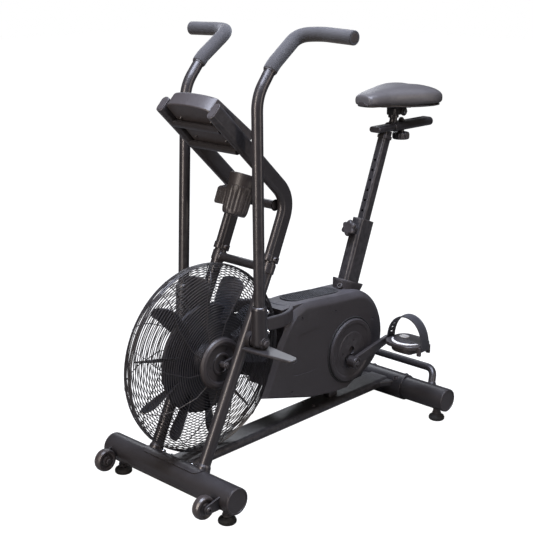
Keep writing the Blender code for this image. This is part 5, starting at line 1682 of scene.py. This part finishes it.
# ---- seat -----------------------------------------------------------------------------
class AIRBIKE_OT_seat_post(bpy.types.Operator):
    """Post with its row of pin holes, and the slotted rail on top with its end cap."""
    bl_idname = "airbike.seat_post"
    bl_label = "Seat post"

    def execute(self, context):
        bm, cutters = bmesh.new(), bmesh.new()
        sweep(bm, [seat_axis_point(-POST_IN), seat_axis_point(POST_OUT + 0.012)],
              rounded_box(0.030, 0.038, 0.008, 12),
              Y_AXIS)
        for k in range(-2, 8):
            distance = -0.036 + HOLE_PITCH * k
            rod(cutters, 0.0046, seat_axis_point(distance, 0.006), seat_axis_point(distance, 0.03), 28, 0)
        slab(cutters, [(0.70, 0.11), (1.0, 0.11), (1.0, -0.11), (0.70, -0.11)], RAIL_Z - 0.004, 1.1, level)
        piece("seat_post_tube", bm, "powder", "seat_post", ("seat_post",), cutters)
        bm, cutters = bmesh.new(), bmesh.new()
        sweep(bm, [(0.766, 0, RAIL_Z), (0.985, 0, RAIL_Z)], rounded_box(0.044, 0.020, 0.0096, 12),
              Y_AXIS, ends=0.002)
        slab(cutters, [(0.934 + x, y) for x, y in rounded_box(0.082, 0.0125, 0.006, 10)], 0.9, 1.0, level)
        piece("rail_bar", bm, "powder", "seat_post", ("seat_rail",), cutters)
        bm = bmesh.new()
        top = seat_axis_point(POST_OUT - 0.006)
        ring = rounded_box(0.036, 0.044, 0.010, 10)
        sweep(bm, [seat_axis_point(POST_OUT - 0.014), top], ring, Y_AXIS, ends=0.0016)
        sweep(bm, [(0.764 - 0.001, 0, RAIL_Z), (0.7665, 0, RAIL_Z)],
              rounded_box(0.0430, 0.0190, 0.0092, 12), Y_AXIS,
              ends=0.0012)
        piece("rail_cap", bm, "trim", "seat_post")
        return {"FINISHED"}


class AIRBIKE_OT_pull_pin(bpy.types.Operator):
    """Lobed knob on a steel pin, with its spring barrel."""
    bl_idname = "airbike.pull_pin"
    bl_label = "Pull pin"

    def execute(self, context):
        start = seat_axis_point(-0.036, 0.0178)
        spin = Z_AXIS.rotation_difference(SEAT_FRONT).to_matrix()
        bm = bmesh.new()
        steps = 120
        levels = ((0.0300, 0.0080, 0), (0.0305, 0.0098, 0), (0.0355, 0.0110, 0), (0.0368, 0.0165, 0.0008),
                  (0.0378, 0.0212, 0.0020), (0.0398, 0.0238, 0.0025), (0.0430, 0.0245, 0.0026),
                  (0.0480, 0.0245, 0.0026), (0.0515, 0.0232, 0.0024), (0.0532, 0.0205, 0.0016),
                  (0.0538, 0.0150, 0.0006), (0.0530, 0.0120, 0.0), (0.0527, 0.0060, 0.0))
        rings = []
        for height, radius, lobe in levels:
            ring = []
            for i in range(steps):
                angle = 2 * math.pi * i / steps
                wave = math.cos(6 * angle)
                reach = radius + lobe * (wave if wave > 0 else wave * 1.25)
                ring.append(start + spin @ Vector((reach * math.cos(angle), reach * math.sin(angle), height)))
            rings.append(ring)
        loft(bm, rings)
        piece("pull_knob", bm, "trim", "pull_pin", ("pull_pin",))
        bm = bmesh.new()
        turned(bm, ((0, 0.0022), (0.0028, 0.0022), (0.0038, 0.0036), (0.0038, 0.0310), (0, 0.0310)),
               start, SEAT_FRONT,
               32, 0.0004)
        piece("pull_pin_rod", bm, "steel", "pull_pin")
        return {"FINISHED"}


class AIRBIKE_OT_seat_slider(bpy.types.Operator):
    """Sleeve on the rail with its slot, washer, end plug and the saddle's short tube."""
    bl_idname = "airbike.seat_slider"
    bl_label = "Seat slider"

    def execute(self, context):
        bm, cutters = bmesh.new(), bmesh.new()
        sweep(bm, [(0.8460, 0, RAIL_Z), (1.0425, 0, RAIL_Z)], rounded_box(0.052, 0.028, 0.0137, 14),
              Y_AXIS, ends=0.0014)
        sweep(cutters, [(0.80, 0, RAIL_Z), (1.036, 0, RAIL_Z)], rounded_box(0.0448, 0.0208, 0.0102, 14),
              Y_AXIS)
        slab(cutters, [(0.9825 + x, y) for x, y in rounded_box(0.055, 0.012, 0.0058, 10)], RAIL_Z, 1.0, level)
        rod(cutters, 0.0052, (0.902, 0, 0.9), (0.902, 0, 1.0), 32, 0)
        piece("slider_sleeve", bm, "powder", "seat_slider", ("seat_slider",), cutters)
        bm = bmesh.new()
        turned(bm, ((0.0125, 0.0128), (0.0165, 0.0128), (0.0135, 0.0175), (0.0125, 0.0230), (0.0125, 0.0580),
                    (0, 0.0580), (0, 0.0128)), (0.859, 0, RAIL_Z), Z_AXIS, 56, 0.0012)
        piece("saddle_stem", bm, "powder", "seat_slider")
        bm = bmesh.new()
        sweep(bm, [(1.0395, 0, RAIL_Z), (1.0445, 0, RAIL_Z)], rounded_box(0.0500, 0.0262, 0.0128, 14), Y_AXIS,
              ends=0.0014)
        piece("slider_plug", bm, "trim", "seat_slider")
        return {"FINISHED"}


class AIRBIKE_OT_clamp_knob(bpy.types.Operator):
    """Ribbed star knob under the slider, its bolt, washer and cap nut."""
    bl_idname = "airbike.clamp_knob"
    bl_label = "Clamp knob"

    def execute(self, context):
        centre = Vector((0.902, 0, RAIL_Z))
        bm = bmesh.new()
        steps = 144
        levels = ((-0.0220, 0.0080, 0), (-0.0222, 0.0200, 0), (-0.0232, 0.0245, 0.0004),
                  (-0.0252, 0.0264, 0.0011),
                  (-0.0290, 0.0272, 0.0014), (-0.0400, 0.0272, 0.0014), (-0.0435, 0.0264, 0.0012),
                  (-0.0455, 0.0245, 0.0006), (-0.0460, 0.0210, 0), (-0.0452, 0.0120, 0), (-0.0452, 0.0040, 0))
        rings = []
        for height, radius, rib in levels:
            rings.append([centre + Vector(((radius + rib * math.cos(18 * a)) * math.cos(a),
                                           (radius + rib * math.cos(18 * a)) * math.sin(a), height))
                          for a in (2 * math.pi * i / steps for i in range(steps))])
        loft(bm, rings)
        turned(bm, ((0, -0.0225), (0.0112, -0.0225), (0.0100, -0.0160), (0.0100, -0.0152),
                    (0, -0.0152)), centre, Z_AXIS,
               40, 0.0006)
        piece("star_knob", bm, "trim", "clamp_knob", ("clamp_knob",))
        bm = bmesh.new()
        rod(bm, 0.0044, centre - Z_AXIS * 0.020, centre + Z_AXIS * 0.016, 28, 0)
        turned(bm, ((0, 0.0146), (0.0115, 0.0146), (0.0115, 0.0162), (0, 0.0162)), centre, Z_AXIS, 40, 0.0004)
        hex_nut(bm, centre + Z_AXIS * 0.0160, Z_AXIS, 0.0092, 0.0062)
        turned(bm, ((0.0076, 0.0215), (0.0072, 0.0240), (0.0050, 0.0260), (0, 0.0268), (0, 0.0215)),
               centre, Z_AXIS, 32)
        piece("clamp_bolt", bm, "trim", "clamp_knob")
        return {"FINISHED"}


class AIRBIKE_OT_saddle_clamp(bpy.types.Operator):
    """Pressed clamp under the saddle with its cheeks and cross bolt."""
    bl_idname = "airbike.saddle_clamp"
    bl_label = "Saddle clamp"

    def execute(self, context):
        bm = bmesh.new()
        slab(bm, [(x + 0.869, y) for x, y in rounded_box(0.054, 0.036, 0.006, 6)], 1.0025, 1.0275,
             level, 0.003)
        turned(bm, ((0.0128, 0.0300), (0.0172, 0.0300), (0.0172, 0.0440), (0.0128, 0.0440)),
               (0.859, 0, RAIL_Z), Z_AXIS,
               56, 0.001, closed=True)
        for side in (-1, 1):
            turned(bm, ((0.0068, 0.0175), (0.0135, 0.0175), (0.0145, 0.0205), (0.0145, 0.0240),
                        (0.0068, 0.0240)),
                   (0.886, 0, 1.013), Y_AXIS * side, 56, 0.0008, closed=True)
        piece("clamp_cheeks", bm, "powder", "seat_slider", ("saddle_clamp",))
        bm = bmesh.new()
        rod(bm, 0.0055, (0.886, -0.0270, 1.013), (0.886, 0.0270, 1.013), 24, 0.0005)
        for side in (-1, 1):
            hex_nut(bm, (0.886, side * 0.0238, 1.013), Y_AXIS * side, 0.0088, 0.0062)
        for side in (-1, 1):
            rod(bm, 0.0034, (0.770, side * 0.020, 1.040), (0.920, side * 0.022, 1.0245), 20, 0.0005)
        piece("saddle_rails", bm, "steel", "seat_slider")
        return {"FINISHED"}


# ---- saddle ---------------------------------------------------------------------------
SADDLE = ((0.692, 0.027, 1.048, 1.077), (0.697, 0.035, 1.043, 1.084), (0.704, 0.041, 1.041, 1.088),
          (0.722, 0.0465, 1.039, 1.093), (0.745, 0.050, 1.038, 1.097), (0.775, 0.056, 1.036, 1.101),
          (0.800, 0.064, 1.034, 1.103), (0.825, 0.074, 1.032, 1.105), (0.850, 0.084, 1.030, 1.106),
          (0.875, 0.095, 1.029, 1.106), (0.900, 0.106, 1.0285, 1.106), (0.925, 0.115, 1.0285, 1.104),
          (0.945, 0.119, 1.0285, 1.102), (0.964, 0.118, 1.0285, 1.098), (0.978, 0.113, 1.0285, 1.092),
          (0.987, 0.104, 1.031, 1.086), (0.991, 0.094, 1.034, 1.080))


def saddle_shell(bm, inset, low_share, high_share):
    """The saddle's body between two shares of its height, drawn in by inset."""
    rings = []
    for x, half, low, high in SADDLE:
        bottom = low + (high - low) * low_share
        top = low + (high - low) * high_share
        rear = max(0.0, (x - 0.86) / 0.13)
        ring = []
        for i in range(40):
            angle = 2 * math.pi * i / 40
            c, s = math.cos(angle), math.sin(angle)
            across = (abs(c) ** (0.55 if s < 0 else 0.70)) * (1 if c > 0 else -1)
            rise = (abs(s) ** (0.42 if s < 0 else 0.80)) * (1 if s > 0 else -1)
            y = across * (half - inset)
            z = (bottom + top) / 2 + rise * ((top - bottom) / 2 - inset)
            if s > 0 and high_share > 0.9:
                z -= 0.0065 * rear * math.exp(-(y / 0.020) ** 2)
            ring.append(Vector((x, y, z)))
        rings.append(ring)
    pull = Vector((inset, 0, 0))
    rings[0] = [p + pull for p in rings[0]]
    rings[-1] = [p - pull for p in rings[-1]]
    loft(bm, rings)


class AIRBIKE_OT_saddle(bpy.types.Operator):
    """Padded saddle filled out by a cloth run, with a moulded base pan."""
    bl_idname = "airbike.saddle"
    bl_label = "Saddle"

    def execute(self, context):
        bm = bmesh.new()
        saddle_shell(bm, 0.0055, 0.0, 1.0)
        pad = raw("saddle_pad", bm)
        remesh = pad.modifiers.new("Even mesh", "REMESH")
        remesh.mode = "VOXEL"
        remesh.voxel_size = 0.0048
        self.fill(pad)
        smoother = pad.modifiers.new("Subdivision", "SUBSURF")
        smoother.levels = 1
        smoother.render_levels = 1
        graph = bpy.context.evaluated_depsgraph_get()
        mesh = bpy.data.meshes.new_from_object(pad.evaluated_get(graph))
        pad.modifiers.clear()
        pad.data = mesh
        mesh.shade_smooth()
        mesh.materials.clear()
        mesh.materials.append(FINISHES["vinyl"]())
        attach(pad, "seat_slider")
        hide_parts("saddle")
        self.base_pan()
        return {"FINISHED"}

    def fill(self, pad):
        """Blow the cover up from inside for twenty frames and hold it to its outline."""
        scene = bpy.context.scene
        graph = bpy.context.evaluated_depsgraph_get()
        pad.data = bpy.data.meshes.new_from_object(pad.evaluated_get(graph))
        pad.modifiers.clear()
        start = [v.co.copy() for v in pad.data.vertices]
        floor = min(v.z for v in start)
        held = pad.vertex_groups.new(name="Stapled edge")
        for v in pad.data.vertices:
            share = 1.0 if v.co.z < floor + 0.020 else 0.0
            if share:
                held.add([v.index], share, "REPLACE")
        cloth = pad.modifiers.new("Cover", "CLOTH")
        cloth.settings.quality = 6
        cloth.settings.mass = 0.25
        cloth.settings.tension_stiffness = 22
        cloth.settings.compression_stiffness = 22
        cloth.settings.shear_stiffness = 12
        cloth.settings.bending_stiffness = 1.5
        cloth.settings.use_pressure = True
        cloth.settings.uniform_pressure_force = 4.0
        cloth.settings.vertex_group_mass = "Stapled edge"
        cloth.settings.effector_weights.gravity = 0.0
        cloth.collision_settings.use_collision = False
        cloth.point_cache.frame_start = 1
        cloth.point_cache.frame_end = 20
        for number in range(1, 21):
            scene.frame_set(number)
        graph = bpy.context.evaluated_depsgraph_get()
        filled = pad.evaluated_get(graph).data
        most = 0.0072
        shaped = []
        for v, before in zip(filled.vertices, start):
            move = v.co - before
            if move.length > most:
                move = move.normalized() * most
            shaped.append(before + move)
        pad.modifiers.clear()
        for v, place in zip(pad.data.vertices, shaped):
            v.co = place
        pad.vertex_groups.clear()
        scene.frame_set(1)

    def base_pan(self):
        bm = bmesh.new()
        rings = []
        for x, half, low, high in SADDLE:
            bottom = low + 0.0012
            top = low + min(0.012, (high - low) * 0.40)
            edge = half - 0.016
            ring = []
            for i in range(32):
                angle = 2 * math.pi * i / 32
                c, s = math.cos(angle), math.sin(angle)
                across = (abs(c) ** 0.6) * (1 if c > 0 else -1)
                rise = (abs(s) ** 0.6) * (1 if s > 0 else -1)
                ring.append(Vector((x, across * edge, (bottom + top) / 2 + rise * (top - bottom) / 2)))
            rings.append(ring)
        loft(bm, rings)
        piece("saddle_base_pan", bm, "trim", "seat_slider")


# ---- stage ----------------------------------------------------------------------------
CAMERA_SPOT = Vector((-2.0927, -2.2572, 1.5440))
CAMERA_TURN, CAMERA_TILT, CAMERA_LENS = math.radians(-46.19), math.radians(15.97), 76.56


def soft_light(name, spot, target, size, power, tint):
    data = bpy.data.lights.new(name, "AREA")
    data.shape = "RECTANGLE"
    data.size, data.size_y = size
    data.energy = power
    data.color = tint
    lamp = bpy.data.objects.new(name, data)
    bpy.context.scene.collection.objects.link(lamp)
    spot = Vector(spot)
    lamp.matrix_world = (Matrix.Translation(spot)
                         @ (Vector(target) - spot).to_track_quat("-Z", "Y").to_matrix().to_4x4())
    return lamp


def studio_white():
    """Floor finish that stays clean white to the camera."""
    white = bpy.data.materials.new("Studio white")
    white.use_nodes = True
    nodes, links = white.node_tree.nodes, white.node_tree.links
    shader = nodes["Principled BSDF"]
    shader.inputs["Base Color"].default_value = (0.16, 0.16, 0.16, 1)
    shader.inputs["Roughness"].default_value = 0.9
    shader.inputs["Specular IOR Level"].default_value = 0.1
    shader.inputs["Emission Color"].default_value = (1, 1, 1, 1)
    rays = nodes.new("ShaderNodeLightPath")
    links.new(rays.outputs["Is Camera Ray"], shader.inputs["Emission Strength"])
    return white


def surroundings():
    """White to the camera, and a dimmer even light on the bike."""
    world = bpy.data.worlds.new("Studio surroundings")
    world.use_nodes = True
    nodes, links = world.node_tree.nodes, world.node_tree.links
    rays = nodes.new("ShaderNodeLightPath")
    spread = nodes.new("ShaderNodeMapRange")
    spread.inputs["To Min"].default_value = 0.07
    spread.inputs["To Max"].default_value = 1.0
    links.new(rays.outputs["Is Camera Ray"], spread.inputs["Value"])
    links.new(spread.outputs["Result"], nodes["Background"].inputs["Strength"])
    nodes["Background"].inputs["Color"].default_value = (1, 1, 1, 1)
    return world


class AIRBIKE_OT_studio(bpy.types.Operator):
    """White floor, even white surroundings, soft lights and the camera."""
    bl_idname = "airbike.studio"
    bl_label = "Studio"

    def execute(self, context):
        scene = bpy.context.scene
        mesh = bpy.data.meshes.new("studio_floor")
        reach = 14.0
        mesh.from_pydata([(-reach, -reach, 0), (reach, -reach, 0), (reach, reach, 0), (-reach, reach, 0)], [],
                         [(0, 1, 2, 3)])
        floor = bpy.data.objects.new("studio_floor", mesh)
        scene.collection.objects.link(floor)
        mesh.materials.append(studio_white())
        scene.world = surroundings()
        lamps = [soft_light("studio_top", (-0.5, -0.5, 3.0), (0, 0, 0.5), (2.4, 1.6), 205, (0.78, 0.83, 1.0)),
                 soft_light("studio_left", (-2.6, -0.2, 1.3), (0, 0, 0.6), (0.35, 2.4), 60,
                            (1.0, 0.88, 0.80)),
                 soft_light("studio_front", (0.9, -3.2, 1.2), (0, 0, 0.5), (0.30, 2.4), 30,
                            (1.0, 0.88, 0.80)),
                 soft_light("studio_back", (1.8, 2.2, 2.2), (0, 0, 0.8), (1.6, 1.2), 22, (0.9, 0.94, 1.0))]
        data = bpy.data.cameras.new("studio_camera")
        data.lens = CAMERA_LENS
        data.sensor_width = 36
        camera = bpy.data.objects.new("studio_camera", data)
        scene.collection.objects.link(camera)
        back = Vector((math.sin(CAMERA_TURN) * math.cos(CAMERA_TILT),
                       -math.cos(CAMERA_TURN) * math.cos(CAMERA_TILT), math.sin(CAMERA_TILT)))
        camera.matrix_world = (Matrix.Translation(CAMERA_SPOT + Vector((AXLE_X, 0, 0)))
                               @ back.to_track_quat("Z", "Y").to_matrix().to_4x4())
        scene.camera = camera
        scene.view_settings.view_transform = "Standard"
        scene.view_settings.look = "None"
        return {"FINISHED"}


# ---- panel and registration -----------------------------------------------------------
class AIRBIKE_PT_panel(bpy.types.Panel):
    """Lists the operators that build the air bike."""
    bl_idname = "AIRBIKE_PT_panel"
    bl_label = "Air bike"
    bl_space_type = "VIEW_3D"
    bl_region_type = "UI"
    bl_category = "Air bike"

    def draw(self, context):
        for name in context.scene.air_bike_colours.bl_rna.properties.keys():
            if name not in ("rna_type", "name"):
                self.layout.prop(context.scene.air_bike_colours, name)
        for name in context.scene.air_bike_sizes.bl_rna.properties.keys():
            if name not in ("rna_type", "name"):
                self.layout.prop(context.scene.air_bike_sizes, name)
        for operator in OPERATORS:
            self.layout.operator(operator.bl_idname)


OPERATORS = (
    AIRBIKE_OT_stabilisers, AIRBIKE_OT_front_saddle_plate, AIRBIKE_OT_main_rail,
    AIRBIKE_OT_lift_handle, AIRBIKE_OT_fork, AIRBIKE_OT_masts, AIRBIKE_OT_seat_tube,
    AIRBIKE_OT_feet, AIRBIKE_OT_transport_wheels, AIRBIKE_OT_guard, AIRBIKE_OT_hub_cover,
    AIRBIKE_OT_fan_wheel, AIRBIKE_OT_covers, AIRBIKE_OT_deck_mat, AIRBIKE_OT_crank_cover,
    AIRBIKE_OT_belt_guard, AIRBIKE_OT_shroud_arms, AIRBIKE_OT_seat_collar, AIRBIKE_OT_crank,
    AIRBIKE_OT_pedals, AIRBIKE_OT_pedal_straps, AIRBIKE_OT_foot_pegs, AIRBIKE_OT_lever_sockets,
    AIRBIKE_OT_levers, AIRBIKE_OT_grips, AIRBIKE_OT_console, AIRBIKE_OT_bottle_holder,
    AIRBIKE_OT_seat_post, AIRBIKE_OT_pull_pin, AIRBIKE_OT_seat_slider, AIRBIKE_OT_clamp_knob,
    AIRBIKE_OT_saddle_clamp, AIRBIKE_OT_saddle, AIRBIKE_OT_studio)
CLASSES = (AirBikeColours, AirBikeSizes) + OPERATORS + (AIRBIKE_PT_panel,)


def register():
    for item in CLASSES:
        bpy.utils.register_class(item)
    bpy.types.Scene.air_bike_colours = PointerProperty(type=AirBikeColours)
    bpy.types.Scene.air_bike_sizes = PointerProperty(type=AirBikeSizes)


def unregister():
    del bpy.types.Scene.air_bike_sizes
    del bpy.types.Scene.air_bike_colours
    for item in reversed(CLASSES):
        bpy.utils.unregister_class(item)


def main():
    register()
    for operator in OPERATORS:
        family, name = operator.bl_idname.split(".")
        if getattr(getattr(bpy.ops, family), name)() != {"FINISHED"}:
            raise RuntimeError("could not build: " + operator.bl_label)
    bpy.context.view_layer.update()


if __name__ == "__main__":
    main()
